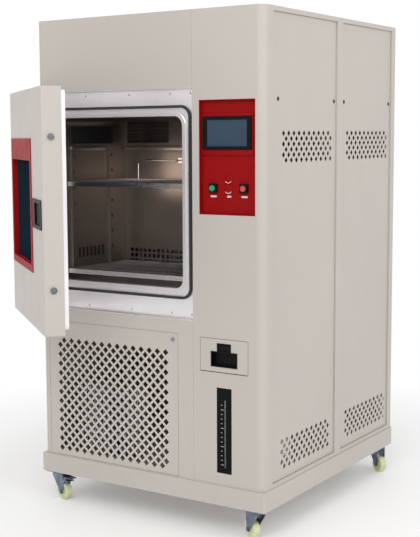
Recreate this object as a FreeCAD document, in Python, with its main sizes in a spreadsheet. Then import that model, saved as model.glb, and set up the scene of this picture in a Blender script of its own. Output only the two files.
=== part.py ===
import FreeCAD, Part
import math
import os
import Sketcher

# Xenon weathering chamber on four casters, in millimetres.
# The origin is on the floor under the middle of the cabinet. +X is to the right of
# someone facing the door, +Y runs to the back and +Z is up.

SIZES = {
    # Cabinet shell
    "body_width": 970.0,
    "body_depth": 1060.0,
    "body_height": 1630.0,
    "sheet": 2.0,
    "corner_radius": 30.0,
    "column_width": 282.0,
    "column_return": 61.0,
    "recess_drop": 260.0,
    "recess_height": 802.0,
    "recess_depth": 22.0,
    # Plinth and welded frame
    "caster_height": 110.0,
    "plinth_height": 70.0,
    "plinth_proud": 5.0,
    "plinth_width": 40.0,
    "plinth_radius": 4.0,
    "frame_wall": 3.0,
    "gusset": 110.0,
    "gusset_thick": 6.0,
    "post_width": 32.0,
    "post_lip": 28.0,
    "strip_width": 8.0,
    "side_panel_gap": 2.0,
    "side_window_sill": 15.0,
    "side_window_head": 16.0,
    "centre_strip_front": 9.0,
    "centre_strip_width": 46.0,
    "rear_strip": 33.0,
    "rail_height": 40.0,
    "rear_inset": 10.0,
    "floor_sheet": 3.0,
    # Vents
    "vent_side": 36.0,
    "vent_jamb": 64.0,
    "vent_sill": 4.0,
    "vent_head": 48.0,
    "vent_pitch": 35.6,
    "vent_row": 18.0,
    "vent_diamond": 24.0,
    "vent_edge": 36.0,
    "vent_foot": 27.0,
    "vent_crown": 48.0,
    "vent_lip": 12.0,
    "side_vent_pitch": 37.2,
    "side_vent_row": 18.2,
    "side_vent_diamond": 22.0,
    "upper_vent_drop": 490.0,
    "lower_vent_rise": 40.0,
    "rear_slot_width": 8.0,
    "rear_slot_height": 70.0,
    "rear_slot_pitch": 30.0,
    "lock_radius": 7.0,
    "lock_side": 22.0,
    "lock_drop": 24.0,
    # Test chamber
    "chamber_side": 85.0,
    "chamber_jamb": 53.0,
    "chamber_sill": 107.0,
    "chamber_head": 95.0,
    "chamber_depth": 403.0,
    "chamber_corner": 33.0,
    "duct_depth": 95.0,
    "liner_wall": 3.0,
    "rim_width": 12.0,
    "rim_proud": 4.0,
    "gasket_offset": 28.0,
    "gasket_width": 9.0,
    "gasket_thick": 7.5,
    "duct_sheet": 2.0,
    "inlet_side": 27.0,
    "inlet_rise": 29.0,
    "inlet_hole": 14.0,
    "inlet_pitch": 21.5,
    "outlet_side": 17.0,
    "outlet_width": 199.0,
    "outlet_height": 83.0,
    "outlet_drop": 11.0,
    "cover_width": 196.0,
    "cover_height": 101.0,
    "cover_drop": 130.0,
    "cover_corner": 25.0,
    "front_post_inset": 75.0,
    "rear_post_inset": 95.0,
    "post_strip": 26.0,
    "post_strip_thick": 8.0,
    "post_strip_rise": 30.0,
    "shelf_hole": 13.0,
    "shelf_hole_pitch": 60.0,
    "upper_shelf_rise": 365.0,
    "lower_shelf_rise": 38.0,
    "shelf_front_gap": 32.0,
    "shelf_back_gap": 14.0,
    "shelf_wire": 4.0,
    "shelf_frame": 17.0,
    "shelf_wire_pitch": 24.0,
    "probe_radius": 2.5,
    "probe_length": 106.0,
    "probe_head": 34.0,
    "probe_rise": 437.0,
    # Lamps
    "lamp_radius": 12.0,
    "lamp_rise": 70.0,
    "lamp_pitch": 70.0,
    "lamp_window_side": 100.0,
    "lamp_window_front_gap": 78.0,
    "lamp_window_back_gap": 65.0,
    "filter_thick": 4.0,
    "lamp_house_height": 167.0,
    # Machine bay and air duct
    "fan_rise": 420.0,
    "fan_radius": 80.0,
    "fan_thick": 40.0,
    "shaft_radius": 8.0,
    "running_gap": 0.05,
    "heater_gap": 30.0,
    "heater_wire": 5.0,
    "coil_height": 110.0,
    "condenser_side": 95.0,
    "condenser_width": 300.0,
    "condenser_height": 270.0,
    "condenser_depth": 60.0,
    "condenser_front_gap": 70.0,
    "condenser_fan_radius": 100.0,
    "condenser_fan_thick": 30.0,
    "condenser_fan_gap": 50.0,
    "compressor_x": -150.0,
    "compressor_y": 120.0,
    "compressor_radius": 78.0,
    "compressor_height": 230.0,
    "humidifier_x": 80.0,
    "humidifier_y": -120.0,
    "humidifier_radius": 70.0,
    "humidifier_height": 260.0,
    "tank_side": 22.0,
    "tank_edge": 15.0,
    "tank_front_gap": 50.0,
    "tank_depth": 260.0,
    "tank_drop": 20.0,
    "tank_wall": 4.0,
    # Control panel
    "panel_jamb": 28.0,
    "panel_edge": 34.0,
    "panel_drop": 303.0,
    "panel_height": 387.0,
    "panel_recess": 15.0,
    "screen_side_left": 26.0,
    "screen_side_right": 36.0,
    "screen_drop": 67.0,
    "screen_height": 90.0,
    "screen_border": 10.0,
    "screen_border_left": 18.0,
    "screen_border_right": 17.0,
    "button_radius": 10.0,
    "button_drop": 140.0,
    "button_side_left": 49.0,
    "button_side_right": 50.0,
    "button_base": 31.0,
    "button_base_depth": 8.0,
    "button_travel": 4.0,
    # Tank flap and level window
    "flap_side": 28.0,
    "flap_edge": 61.0,
    "flap_rise": 397.0,
    "flap_height": 119.0,
    "flap_thick": 8.0,
    "flap_pin": 1.5,
    "ear_width": 5.0,
    "seam_gap": 1.5,
    "latch_side_left": 44.0,
    "latch_side_right": 43.0,
    "latch_rise": 20.0,
    "latch_height": 54.0,
    "latch_depth": 20.0,
    "tab_inset": 25.0,
    "tab_height": 29.0,
    "gauge_side": 95.0,
    "gauge_width": 60.0,
    "gauge_rise": 44.0,
    "gauge_height": 301.0,
    # Door, drawn shut
    "door_lap": 10.0,
    "door_lower": 3.0,
    "door_thick": 64.0,
    "door_gap": 2.0,
    "pan_thick": 16.0,
    "pan_side": 40.0,
    "pan_jamb": 8.0,
    "pan_margin": 14.0,
    "door_open_angle": 40.0,
    "hinge_side": 30.0,
    "hinge_setback": 50.0,
    "hinge_inset": 90.0,
    "hinge_pin": 5.0,
    "hinge_barrel": 9.0,
    "hinge_knuckle": 34.0,
    "handle_edge": 31.0,
    "handle_width": 172.0,
    "handle_rise": 342.0,
    "handle_height": 97.0,
    "handle_depth": 40.0,
    "bezel_side_gap": 20.0,
    "bezel_rise": 185.0,
    "bezel_drop": 165.0,
    "bezel_side": 24.0,
    "bezel_top": 75.0,
    "bezel_depth": 16.0,
    "glass_thick": 24.0,
    "stud_rise": 151.0,
    "stud_drop": 160.0,
    "stud_radius": 11.0,
    # Casters
    "caster_side": 48.0,
    "caster_end": 35.0,
    "caster_plate": 4.0,
    "caster_boss": 5.0,
    "king_pin": 5.0,
    "wheel_radius": 32.0,
    "wheel_width": 28.0,
    "wheel_trail": 28.0,
    "axle_radius": 4.0,
    "fork_sheet": 3.0,
    "fork_nose": 26.0,
    "fork_tail": 40.0,
    "pedal_reach": 50.0,
}

doc = FreeCAD.newDocument("WeatheringChamber")
sheet = doc.addObject("Spreadsheet::Sheet", "Sizes")


class Size:
    """A length that knows its number and the formula that ties it to the sheet."""

    def __init__(self, number, formula):
        self.number = number
        self.formula = formula

    @staticmethod
    def of(value):
        return value if isinstance(value, Size) else Size(float(value), repr(float(value)))

    def __add__(self, other):
        other = Size.of(other)
        return Size(self.number + other.number, f"({self.formula} + {other.formula})")

    def __sub__(self, other):
        other = Size.of(other)
        return Size(self.number - other.number, f"({self.formula} - {other.formula})")

    def __mul__(self, other):
        other = Size.of(other)
        return Size(self.number * other.number, f"({self.formula} * {other.formula})")

    def __truediv__(self, other):
        other = Size.of(other)
        return Size(self.number / other.number, f"({self.formula} / {other.formula})")

    def __radd__(self, other):
        return Size.of(other) + self

    def __rsub__(self, other):
        return Size.of(other) - self

    def __rmul__(self, other):
        return Size.of(other) * self

    def __neg__(self):
        return Size(-self.number, f"(-{self.formula})")

    def __float__(self):
        return self.number


class Driving:
    """The driving sizes by name, read back from the sheet."""


d = Driving()
for row, (alias, number) in enumerate(SIZES.items(), start=1):
    sheet.set(f"A{row}", alias)
    sheet.set(f"B{row}", str(number))
    sheet.setAlias(f"B{row}", alias)
    setattr(d, alias, Size(float(sheet.getContents(f"B{row}")), f"Sizes.{alias}"))
doc.recompute()

nodes = []


# Helpers

def bind(item, prop, value):
    item.setExpression(prop, Size.of(value).formula)


def place(item, x, y, z):
    for axis, value in zip("xyz", (x, y, z)):
        bind(item, f"Placement.Base.{axis}", value)


def keep(item, label):
    item.Label = label
    nodes.append(item)
    return item


def box(x, y, z):
    """A block between the low and high value on each axis."""
    item = doc.addObject("Part::Box", "Block")
    for prop, (low, high) in zip(("Length", "Width", "Height"), (x, y, z)):
        bind(item, prop, Size.of(high) - low)
    place(item, x[0], y[0], z[0])
    return item


TURNS = {
    "x": FreeCAD.Rotation(FreeCAD.Vector(0, 1, 0), 90),
    "y": FreeCAD.Rotation(FreeCAD.Vector(1, 0, 0), -90),
    "z": FreeCAD.Rotation(),
}


def rod(axis, centre, span, radius):
    """A round bar along an axis; centre gives the other two coordinates in X, Y, Z order."""
    item = doc.addObject("Part::Cylinder", "Rod")
    item.Placement = FreeCAD.Placement(FreeCAD.Vector(), TURNS[axis])
    bind(item, "Radius", radius)
    bind(item, "Height", Size.of(span[1]) - span[0])
    start = list(centre)
    start.insert("xyz".index(axis), span[0])
    place(item, *start)
    return item


def cut(base, *tools):
    result = base
    for tool in tools:
        item = doc.addObject("Part::Cut", "Cut")
        item.Base = result
        item.Tool = tool
        result = item
    return result


def fuse(*shapes):
    item = doc.addObject("Part::MultiFuse", "Fusion")
    item.Shapes = list(shapes)
    return item


def group(*shapes):
    item = doc.addObject("Part::Compound", "Group")
    item.Links = list(shapes)
    return item


def plane_of(body, role):
    return next(item for item in body.Origin.OriginFeatures if item.Role == role)


def outline(body, role, points, arcs=()):
    """A closed sketch through points in order; arcs gives {index: centre} for round sides."""
    sketch = body.newObject("Sketcher::SketchObject", "Outline")
    sketch.AttachmentSupport = (plane_of(body, role), [""])
    sketch.MapMode = "FlatFace"
    centres = dict(arcs)
    count = len(points)
    flat = [FreeCAD.Vector(float(Size.of(a)), float(Size.of(b)), 0) for a, b in points]
    for index in range(count):
        start = flat[index]
        end = flat[(index + 1) % count]
        if index in centres:
            centre = FreeCAD.Vector(*(float(Size.of(value)) for value in centres[index]), 0)
            middle = (start + end) / 2 - centre
            middle.normalize()
            middle = centre + middle * (start - centre).Length
            sketch.addGeometry(Part.ArcOfCircle(start, middle, end), False)
        else:
            sketch.addGeometry(Part.LineSegment(start, end), False)
    return sketch


def rectangle(body, role, width, height):
    """A sketched rectangle from the origin whose width and height are bound to the sheet."""
    sketch = body.newObject("Sketcher::SketchObject", "Outline")
    sketch.AttachmentSupport = (plane_of(body, role), [""])
    sketch.MapMode = "FlatFace"
    across, up = float(Size.of(width)), float(Size.of(height))
    corners = [FreeCAD.Vector(*pair, 0) for pair in ((0, 0), (across, 0), (across, up), (0, up))]
    for index in range(4):
        sketch.addGeometry(Part.LineSegment(corners[index], corners[(index + 1) % 4]), False)
    for index in range(4):
        sketch.addConstraint(Sketcher.Constraint("Coincident", index, 2, (index + 1) % 4, 1))
    for index, kind in enumerate(("Horizontal", "Vertical", "Horizontal", "Vertical")):
        sketch.addConstraint(Sketcher.Constraint(kind, index))
    sketch.addConstraint(Sketcher.Constraint("Coincident", 0, 1, -1, 1))
    for kind, line, value in (("DistanceX", 0, width), ("DistanceY", 1, height)):
        number = sketch.addConstraint(Sketcher.Constraint(kind, line, 1, line, 2, float(Size.of(value))))
        sketch.setExpression(f"Constraints[{number}]", Size.of(value).formula)
    return sketch


def pad(body, sketch, length, backwards=False):
    item = body.newObject("PartDesign::Pad", "Pad")
    item.Profile = sketch
    bind(item, "Length", length)
    item.Reversed = backwards
    return item


def round_edges(body, feature, radius, along):
    """Rounds the edges of a feature that run along one axis of its body."""
    doc.recompute()
    picked = []
    for number, edge in enumerate(feature.Shape.Edges, start=1):
        direction = edge.tangentAt(edge.FirstParameter)
        if edge.Curve.TypeId == "Part::GeomLine" and abs(getattr(direction, along)) > 0.999:
            picked.append(f"Edge{number}")
    item = body.newObject("PartDesign::Fillet", "Round")
    item.Base = (feature, picked)
    bind(item, "Radius", radius)
    return item


def slab(x, y, z, radius=0, along="y"):
    """A block with its four edges along one axis rounded, as a sketched pad."""
    body = doc.addObject("PartDesign::Body", "Slab")
    width, depth, height = (Size.of(high) - low for low, high in (x, y, z))
    if along == "y":
        feature = pad(body, rectangle(body, "XZ_Plane", width, height), depth, backwards=True)
    else:
        feature = pad(body, rectangle(body, "XY_Plane", width, depth), height)
    if float(Size.of(radius)):
        feature = round_edges(body, feature, radius, along)
    body.Tip = feature
    place(body, x[0], y[0], z[0])
    return body


def formed(shape, label):
    """A node whose shape is set by direct modelling."""
    item = doc.addObject("Part::Feature", "Formed")
    item.Shape = shape
    return keep(item, label)


def turned(item, angle, centre):
    """Turns a finished piece about an upright axis through centre."""
    item.Placement = FreeCAD.Placement(
        FreeCAD.Vector(), FreeCAD.Rotation(FreeCAD.Vector(0, 0, 1), angle), centre)
    return item


def grown(span, amount):
    """A span made longer, or shorter where the amount is negative, at both ends."""
    return (span[0] - amount, span[1] + amount)


# Places that several pieces share

fit = 0.3
half_width = d.body_width / 2
half_depth = d.body_depth / 2
front = -half_depth
plinth_under = d.caster_height
body_bottom = plinth_under + d.plinth_height
body_top = body_bottom + d.body_height
roof_under = body_top - d.sheet
floor_top = body_bottom + d.floor_sheet
column_seam = half_width - d.column_width
return_back = front + d.column_return
strip_inside = half_width - d.strip_width
post_inside = strip_inside - d.post_width
post_front_face = front + d.corner_radius
rear_strip_front = half_depth - d.rear_strip
centre_strip_back = d.centre_strip_front + d.centre_strip_width
side_window = (body_bottom + d.side_window_sill, body_top - d.side_window_head)

flange_face = front + d.recess_depth
recess_high = body_top - d.recess_drop
recess_low = recess_high - d.recess_height

vent_x = (-half_width + d.vent_side, column_seam - d.vent_jamb)
vent_z = (body_bottom + d.vent_sill, recess_low - d.vent_head)

chamber_x = (-half_width + d.chamber_side, column_seam - d.chamber_jamb)
chamber_z = (recess_low + d.chamber_sill, recess_high - d.chamber_head)
chamber_back = flange_face + d.chamber_depth
liner_back = chamber_back + d.duct_depth
liner_under = chamber_z[0] - d.liner_wall
liner_top = chamber_z[1] + d.liner_wall
rim_front = flange_face - d.rim_proud
upper_shelf_top = chamber_z[0] + d.upper_shelf_rise
lower_shelf_top = chamber_z[0] + d.lower_shelf_rise
fan_centre = (chamber_x[0] + chamber_x[1]) / 2
fan_height = chamber_z[0] + d.fan_rise

panel_x = (column_seam + d.panel_jamb, half_width - d.panel_edge)
panel_high = body_top - d.panel_drop
panel_z = (panel_high - d.panel_height, panel_high)
panel_floor = front + d.panel_recess
screen_x = (panel_x[0] + d.screen_side_left, panel_x[1] - d.screen_side_right)
screen_high = panel_high - d.screen_drop
screen_z = (screen_high - d.screen_height, screen_high)
button_height = screen_z[0] - d.button_drop
green_x = panel_x[0] + d.button_side_left
red_x = panel_x[1] - d.button_side_right

flap_x = (column_seam + d.flap_side, half_width - d.flap_edge)
flap_low = body_bottom + d.flap_rise
flap_z = (flap_low, flap_low + d.flap_height)
flap_axis_y = front + d.flap_thick / 2
flap_axis_z = flap_low + d.seam_gap + d.flap_thick / 2
latch_x = (flap_x[0] + d.latch_side_left, flap_x[1] - d.latch_side_right)
latch_z = (flap_low + d.latch_rise, flap_low + d.latch_rise + d.latch_height)
tab_x = grown(latch_x, -d.tab_inset)
tab_high = latch_z[1] + d.tab_height
gauge_x = (column_seam + d.gauge_side, column_seam + d.gauge_side + d.gauge_width)
gauge_z = (body_bottom + d.gauge_rise, body_bottom + d.gauge_rise + d.gauge_height)

door_x = (-half_width, column_seam + d.door_lap)
door_z = (recess_low - d.door_lower, recess_high - d.door_lower)
door_inner = front - d.door_gap
door_outer = door_inner - d.door_thick
hinge_x = -half_width - d.hinge_side
hinge_y = front + d.hinge_setback
handle_x = (door_x[1] - d.handle_edge - d.handle_width, door_x[1] - d.handle_edge)
handle_z = (door_z[0] + d.handle_rise, door_z[0] + d.handle_rise + d.handle_height)
bezel_x = (door_x[0] + d.bezel_side_gap, handle_x[0] - d.bezel_side_gap)
bezel_z = (door_z[0] + d.bezel_rise, door_z[1] - d.bezel_drop)


# Welded frame with its plinth

def side_frame(side):
    """One side: the strips that show between the panels, and the channels behind them."""
    def across(low, high):
        return (low, high) if side > 0 else (-high, -low)

    levels = (body_bottom, roof_under)
    strips = box(across(strip_inside, half_width), (return_back, half_depth), levels)
    reach = across(post_inside - 1, half_width + 1)
    front_window = box(reach, (return_back - 1, d.centre_strip_front), side_window)
    rear_window = box(reach, (centre_strip_back, rear_strip_front), side_window)
    posts = box(across(post_inside, strip_inside), (post_front_face, half_depth), levels)
    inner = grown(side_window, -d.post_lip)
    front_post = (post_front_face, post_front_face + d.rail_height)
    centre_post = (d.centre_strip_front - d.post_lip, centre_strip_back + d.post_lip)
    rear_post = (rear_strip_front - d.post_lip, half_depth)
    front_inner = box(reach, (front_post[1], centre_post[0]), inner)
    rear_inner = box(reach, (centre_post[1], rear_post[0]), inner)
    wall = d.frame_wall
    hollow_x = across(post_inside - 1, strip_inside - wall)
    hollows = [box(hollow_x, grown(post, -wall), grown(levels, -wall))
               for post in (front_post, centre_post, rear_post)]
    hollows += [box(hollow_x, (post_front_face + wall, half_depth - wall), grown(rail, -wall))
                for rail in ((body_bottom, inner[0]), (inner[1], roof_under))]
    bearer = box(across(post_inside, post_inside + wall), (front_post[1] - wall, centre_post[0] + wall),
                 (liner_under - d.rail_height, liner_under))
    return [cut(strips, front_window, rear_window), cut(posts, front_inner, rear_inner, fuse(*hollows)), bearer]


def plinth():
    """A ring of folded channel, open towards the inside."""
    out_x = half_width + d.plinth_proud
    out_y = half_depth + d.plinth_proud
    in_x = out_x - d.plinth_width
    in_y = out_y - d.plinth_width
    wall = d.frame_wall
    levels = (plinth_under, body_bottom)
    ring = cut(slab((-out_x, out_x), (-out_y, out_y), levels, d.plinth_radius, along="z"),
               box((-in_x, in_x), (-in_y, in_y), grown(levels, 1)),
               box((wall - out_x, out_x - wall), (wall - out_y, out_y - wall), grown(levels, -wall)))
    pieces = [ring]
    for side_x in (-1, 1):
        for side_y in (-1, 1):
            x = sorted(((out_x - wall) * side_x, (in_x - d.gusset) * side_x), key=float)
            y = sorted(((out_y - wall) * side_y, (in_y - d.gusset) * side_y), key=float)
            pieces.append(box(x, y, (plinth_under, plinth_under + d.gusset_thick)))
    return pieces


def cabinet_frame():
    pieces = plinth() + side_frame(1) + side_frame(-1)
    across = (-post_inside, post_inside)
    front_rail = (post_front_face, post_front_face + d.rail_height)
    rear_face = half_depth - d.rear_inset
    rear_rail = (rear_face - d.rail_height, rear_face)
    top = (roof_under - d.rail_height, roof_under)
    pieces.append(box(across, front_rail, top))
    pieces.append(box(across, rear_rail, top))
    pieces.append(box(across, rear_rail, (body_bottom, body_bottom + d.rail_height)))
    middle = (flange_face + liner_back) / 2
    for back in (middle, liner_back - d.rail_height):
        pieces.append(box(across, (back, back + d.rail_height), (liner_under - d.rail_height, liner_under)))
    pieces.append(box(across, (post_front_face, rear_face), (body_bottom, floor_top)))
    return keep(fuse(*pieces), "cabinet_frame")


cabinet_frame()


# Outer covers

def front_sheet(left, right, levels, round_right, fold=None):
    """A front sheet with a rounded corner and a side return at one end."""
    r = d.corner_radius
    t = d.sheet
    body = doc.addObject("PartDesign::Body", "FrontSheet")
    side = 1 if round_right else -1
    end = right if round_right else left
    start = left if round_right else right
    inner_fold = front + t
    points = [
        (start, front), (end - side * r, front), (end, front + r), (end, return_back),
        (end - side * t, return_back), (end - side * t, front + r), (end - side * r, inner_fold),
    ]
    centre = (end - side * r, front + r)
    if fold is None:
        points.append((start, inner_fold))
    else:
        points += [(start + side * t, inner_fold), (start + side * t, fold), (start, fold)]
    sketch = outline(body, "XY_Plane", points, {1: centre, 5: centre})
    body.Tip = pad(body, sketch, levels[1] - levels[0])
    place(body, 0, 0, levels[0])
    return body


def through_front(x, z):
    return box(x, (front - 1, front + d.sheet + 1), z)


def front_column():
    """The column's sheet, with two ears behind it that carry the flap's pin."""
    sheet_body = front_sheet(column_seam, half_width, (body_bottom, roof_under), True, fold=flange_face)
    openings = [through_front(panel_x, panel_z), through_front(flap_x, flap_z), through_front(gauge_x, gauge_z)]
    ears = []
    for inside, side in ((flap_x[0] - 0.5, -1), (flap_x[1] + 0.5, 1)):
        x = sorted((inside, inside + side * d.ear_width), key=float)
        ear = box(x, (front + d.sheet, front + d.flap_thick + 3),
                  (flap_low - 3, flap_axis_z + d.flap_thick / 2))
        hole = rod("x", (flap_axis_y + 0.5, flap_axis_z), grown(x, 1), d.flap_pin + d.running_gap)
        ears.append(cut(ear, hole))
    return keep(fuse(cut(sheet_body, *openings), *ears), "front_column")


def upper_front_panel():
    body = front_sheet(-half_width, column_seam - 0.5, (recess_high, roof_under), False)
    return keep(body, "upper_front_panel")


def lower_front_frame():
    """The sheet under the door, with a ring behind its opening that the vent panel lies on."""
    body = front_sheet(-half_width, column_seam - 0.5, (body_bottom, recess_low), False)
    hole = through_front(vent_x, vent_z)
    lip = d.vent_lip
    ring = cut(box(grown(vent_x, lip), (front + d.sheet, front + 2 * d.sheet), (body_bottom, vent_z[1] + lip)),
               box(grown(vent_x, -lip), (front, front + 3 * d.sheet), grown(vent_z, -lip)))
    return keep(fuse(cut(body, hole), ring), "lower_front_frame")


def diamond(x, z, size):
    half = size / 2
    points = [FreeCAD.Vector(*pair, 0) for pair in ((x - half, z), (x, z - half), (x + half, z), (x, z + half))]
    return Part.makePolygon(points + points[:1])


def diamond_field(left, low, pitch, row_step, columns, rows, size, first_shifted=0):
    """Staggered rows of diamond holes; every other row starts half a pitch further on."""
    wires = []
    for row in range(rows):
        shift = pitch / 2 if (row + first_shifted) % 2 else 0
        for column in range(columns):
            wires.append(diamond(left + shift + column * pitch, low + row * row_step, size))
    return wires


def punched_sheet(width, height, thick, wires):
    """A flat sheet from the origin in X and Z, with the wires punched out, thick along +Y."""
    corners = [FreeCAD.Vector(*pair, 0) for pair in ((0, 0), (width, 0), (width, height), (0, height), (0, 0))]
    face = Part.makeFace([Part.makePolygon(corners)] + wires, "Part::FaceMakerBullseye")
    plate = face.extrude(FreeCAD.Vector(0, 0, thick))
    plate.rotate(FreeCAD.Vector(), FreeCAD.Vector(1, 0, 0), 90)
    plate.translate(FreeCAD.Vector(0, thick, 0))
    return plate


lock_centre = (vent_x[1] - d.lock_side, vent_z[1] - d.lock_drop)


def vent_panel():
    """The front grille: staggered diamonds, fewer where the sheet is smaller."""
    gap = float(d.seam_gap)
    width = float(vent_x[1] - vent_x[0]) - 2 * gap
    height = float(vent_z[1] - vent_z[0]) - 2 * gap
    pitch, row_step, size = float(d.vent_pitch), float(d.vent_row), float(d.vent_diamond)
    foot = float(d.vent_foot)
    columns = int((width - 2 * float(d.vent_edge)) // pitch)
    rows = int((height - foot - float(d.vent_crown)) // row_step)
    left = (width - (columns - 0.5) * pitch) / 2
    wires = diamond_field(left, foot, pitch, row_step, columns, rows, size)
    sheet_shape = punched_sheet(width, height, float(d.sheet), wires)
    sheet_shape.translate(FreeCAD.Vector(float(vent_x[0]) + gap, float(front), float(vent_z[0]) + gap))
    x, z = (float(value) for value in lock_centre)
    bore = Part.makeCylinder(float(d.lock_radius + d.running_gap), 4 * float(d.sheet),
                             FreeCAD.Vector(x, float(front) - 1, z), FreeCAD.Vector(0, 1, 0))
    return formed(sheet_shape.cut(bore), "vent_panel")


def vent_lock():
    """A round lock with a screwdriver slot and a cam behind the ring."""
    body = rod("y", lock_centre, (front - 3, front + 14), d.lock_radius)
    x, z = lock_centre
    reach = 0.7 * d.lock_radius
    slot = box((x - reach, x + reach), (front - 4, front - 1.5), (z - 1, z + 1))
    cam = box((x - 4, x + 26), (front + 8, front + 11), (z - 5, z + 5))
    return keep(fuse(cut(body, slot), cam), "vent_lock")


def side_panel(label, bay, upper_start, lower_start, side=1, vents=True):
    """One side sheet; the starts say how far into the bay its two vent fields begin."""
    gap = float(d.side_panel_gap)
    y_low, y_high = (float(value) for value in bay)
    width = y_high - y_low - 2 * gap
    height = float(side_window[1] - side_window[0]) - 2 * gap
    pitch, size = float(d.side_vent_pitch), float(d.side_vent_diamond)
    wires = []
    if vents:
        for low, start in ((height - float(d.upper_vent_drop), upper_start),
                           (float(d.lower_vent_rise), lower_start)):
            columns = int((width - start - pitch / 2 - size) // pitch) + 1
            wires += diamond_field(start, low, pitch, float(d.side_vent_row), columns, 6, size, 1)
    shape = punched_sheet(width, height, float(d.sheet), wires)
    shape.rotate(FreeCAD.Vector(), FreeCAD.Vector(0, 0, 1), 90)
    outside = float(strip_inside + d.sheet) if side > 0 else -float(strip_inside)
    shape.translate(FreeCAD.Vector(outside, y_low + gap, float(side_window[0]) + gap))
    return shape if label is None else formed(shape, label)


def side_panels():
    front_bay = (return_back, d.centre_strip_front)
    rear_bay = (centre_strip_back, rear_strip_front)
    side_panel("right_front_panel", front_bay, 80, 74)
    side_panel("right_rear_panel", rear_bay, 50, 58)
    left = [side_panel(None, bay, 0, 0, side=-1, vents=False) for bay in (front_bay, rear_bay)]
    formed(Part.makeCompound(left), "left_side_panels")


def roof_panel():
    """A flat roof whose two front corners are round like the front sheets."""
    r = d.corner_radius
    left, right = -half_width, half_width
    body = doc.addObject("PartDesign::Body", "Roof")
    points = [(left + r, front), (right - r, front), (right, front + r), (right, half_depth),
              (left, half_depth), (left, front + r)]
    sketch = outline(body, "XY_Plane", points, {1: (right - r, front + r), 5: (left + r, front + r)})
    body.Tip = pad(body, sketch, d.sheet)
    place(body, 0, 0, roof_under)
    return keep(body, "roof_panel")


def slot_outline(x, z, width, height):
    points = [(x, z), (x + width, z), (x + width, z + height), (x, z + height), (x, z)]
    return Part.makePolygon([FreeCAD.Vector(*pair, 0) for pair in points])


def rear_cover():
    """A flat rear sheet with two rows of upright cooling slots low down and one high up."""
    margin = 2
    width = float(2 * post_inside) - margin
    low = float(body_bottom) + margin
    height = float(roof_under) - low - 2 * margin
    slot_width, slot_height = float(d.rear_slot_width), float(d.rear_slot_height)
    pitch = float(d.rear_slot_pitch)
    count = int((width - 7 * pitch) // pitch)
    start = (width - (count - 1) * pitch - slot_width) / 2
    row_gap = 1.4 * slot_height
    slots = [slot_outline(start + column * pitch, level, slot_width, slot_height)
             for level in (row_gap, 2.7 * slot_height, height - row_gap - slot_height)
             for column in range(count)]
    shape = punched_sheet(width, height, float(d.sheet), slots)
    shape.translate(FreeCAD.Vector(-width / 2, float(half_depth - d.rear_inset), low))
    return formed(shape, "rear_cover")


front_column()
upper_front_panel()
lower_front_frame()
vent_panel()
vent_lock()
side_panels()
roof_panel()
rear_cover()


# Test chamber

lamp_window_x = grown(chamber_x, -d.lamp_window_side)
lamp_window_y = (flange_face + d.lamp_window_front_gap, chamber_back - d.lamp_window_back_gap)


def rounded_ring(inner_x, inner_z, y, width, radius):
    """A flat ring round the opening, with concentric corners."""
    outside = slab(grown(inner_x, width), y, grown(inner_z, width), radius + width)
    inside = slab(inner_x, (y[0] - 1, y[1] + 1), inner_z, radius)
    return cut(outside, inside)


def door_flange():
    """The steel face round the opening, with a sill, a head strip and a cheek."""
    wall = d.liner_wall
    back = flange_face + wall
    left = -half_width
    right = column_seam - fit
    levels = (recess_low, recess_high)
    plate = cut(box((left, right), (flange_face, back), levels),
                slab(grown(chamber_x, wall + fit), (flange_face - 1, back + 1),
                     grown(chamber_z, wall + fit), d.chamber_corner + wall))
    lip = d.sheet
    sills = [box((left + d.corner_radius, right), (front + d.sheet, flange_face), strip)
             for strip in ((recess_low, recess_low + lip), (recess_high - lip, recess_high))]
    cheek = box((left, left + lip), (back, return_back), levels)
    return keep(fuse(plate, cheek, *sills), "door_flange")


def chamber_liner():
    """The box of the test chamber, with its rim in front and the lamp window in its top."""
    wall = d.liner_wall
    tube = cut(slab(grown(chamber_x, wall), (rim_front, liner_back + wall), grown(chamber_z, wall),
                    d.chamber_corner + wall),
               slab(chamber_x, (rim_front - 1, liner_back), chamber_z, d.chamber_corner))
    rim = rounded_ring(grown(chamber_x, wall), grown(chamber_z, wall), (rim_front, flange_face),
                       d.rim_width - wall, d.chamber_corner + wall)
    light = box(lamp_window_x, lamp_window_y, (chamber_z[1] - 1, liner_top + 1))
    shaft_hole = rod("y", (fan_centre, fan_height), (liner_back - 1, liner_back + wall + 1),
                     d.shaft_radius + 4)
    return keep(cut(fuse(tube, rim), light, shaft_hole), "chamber_liner")


def flange_gasket():
    inner_x = grown(chamber_x, d.gasket_offset)
    inner_z = grown(chamber_z, d.gasket_offset)
    ring = rounded_ring(inner_x, inner_z, (flange_face - d.gasket_thick, flange_face), d.gasket_width,
                        d.chamber_corner)
    return keep(ring, "flange_gasket")


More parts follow.
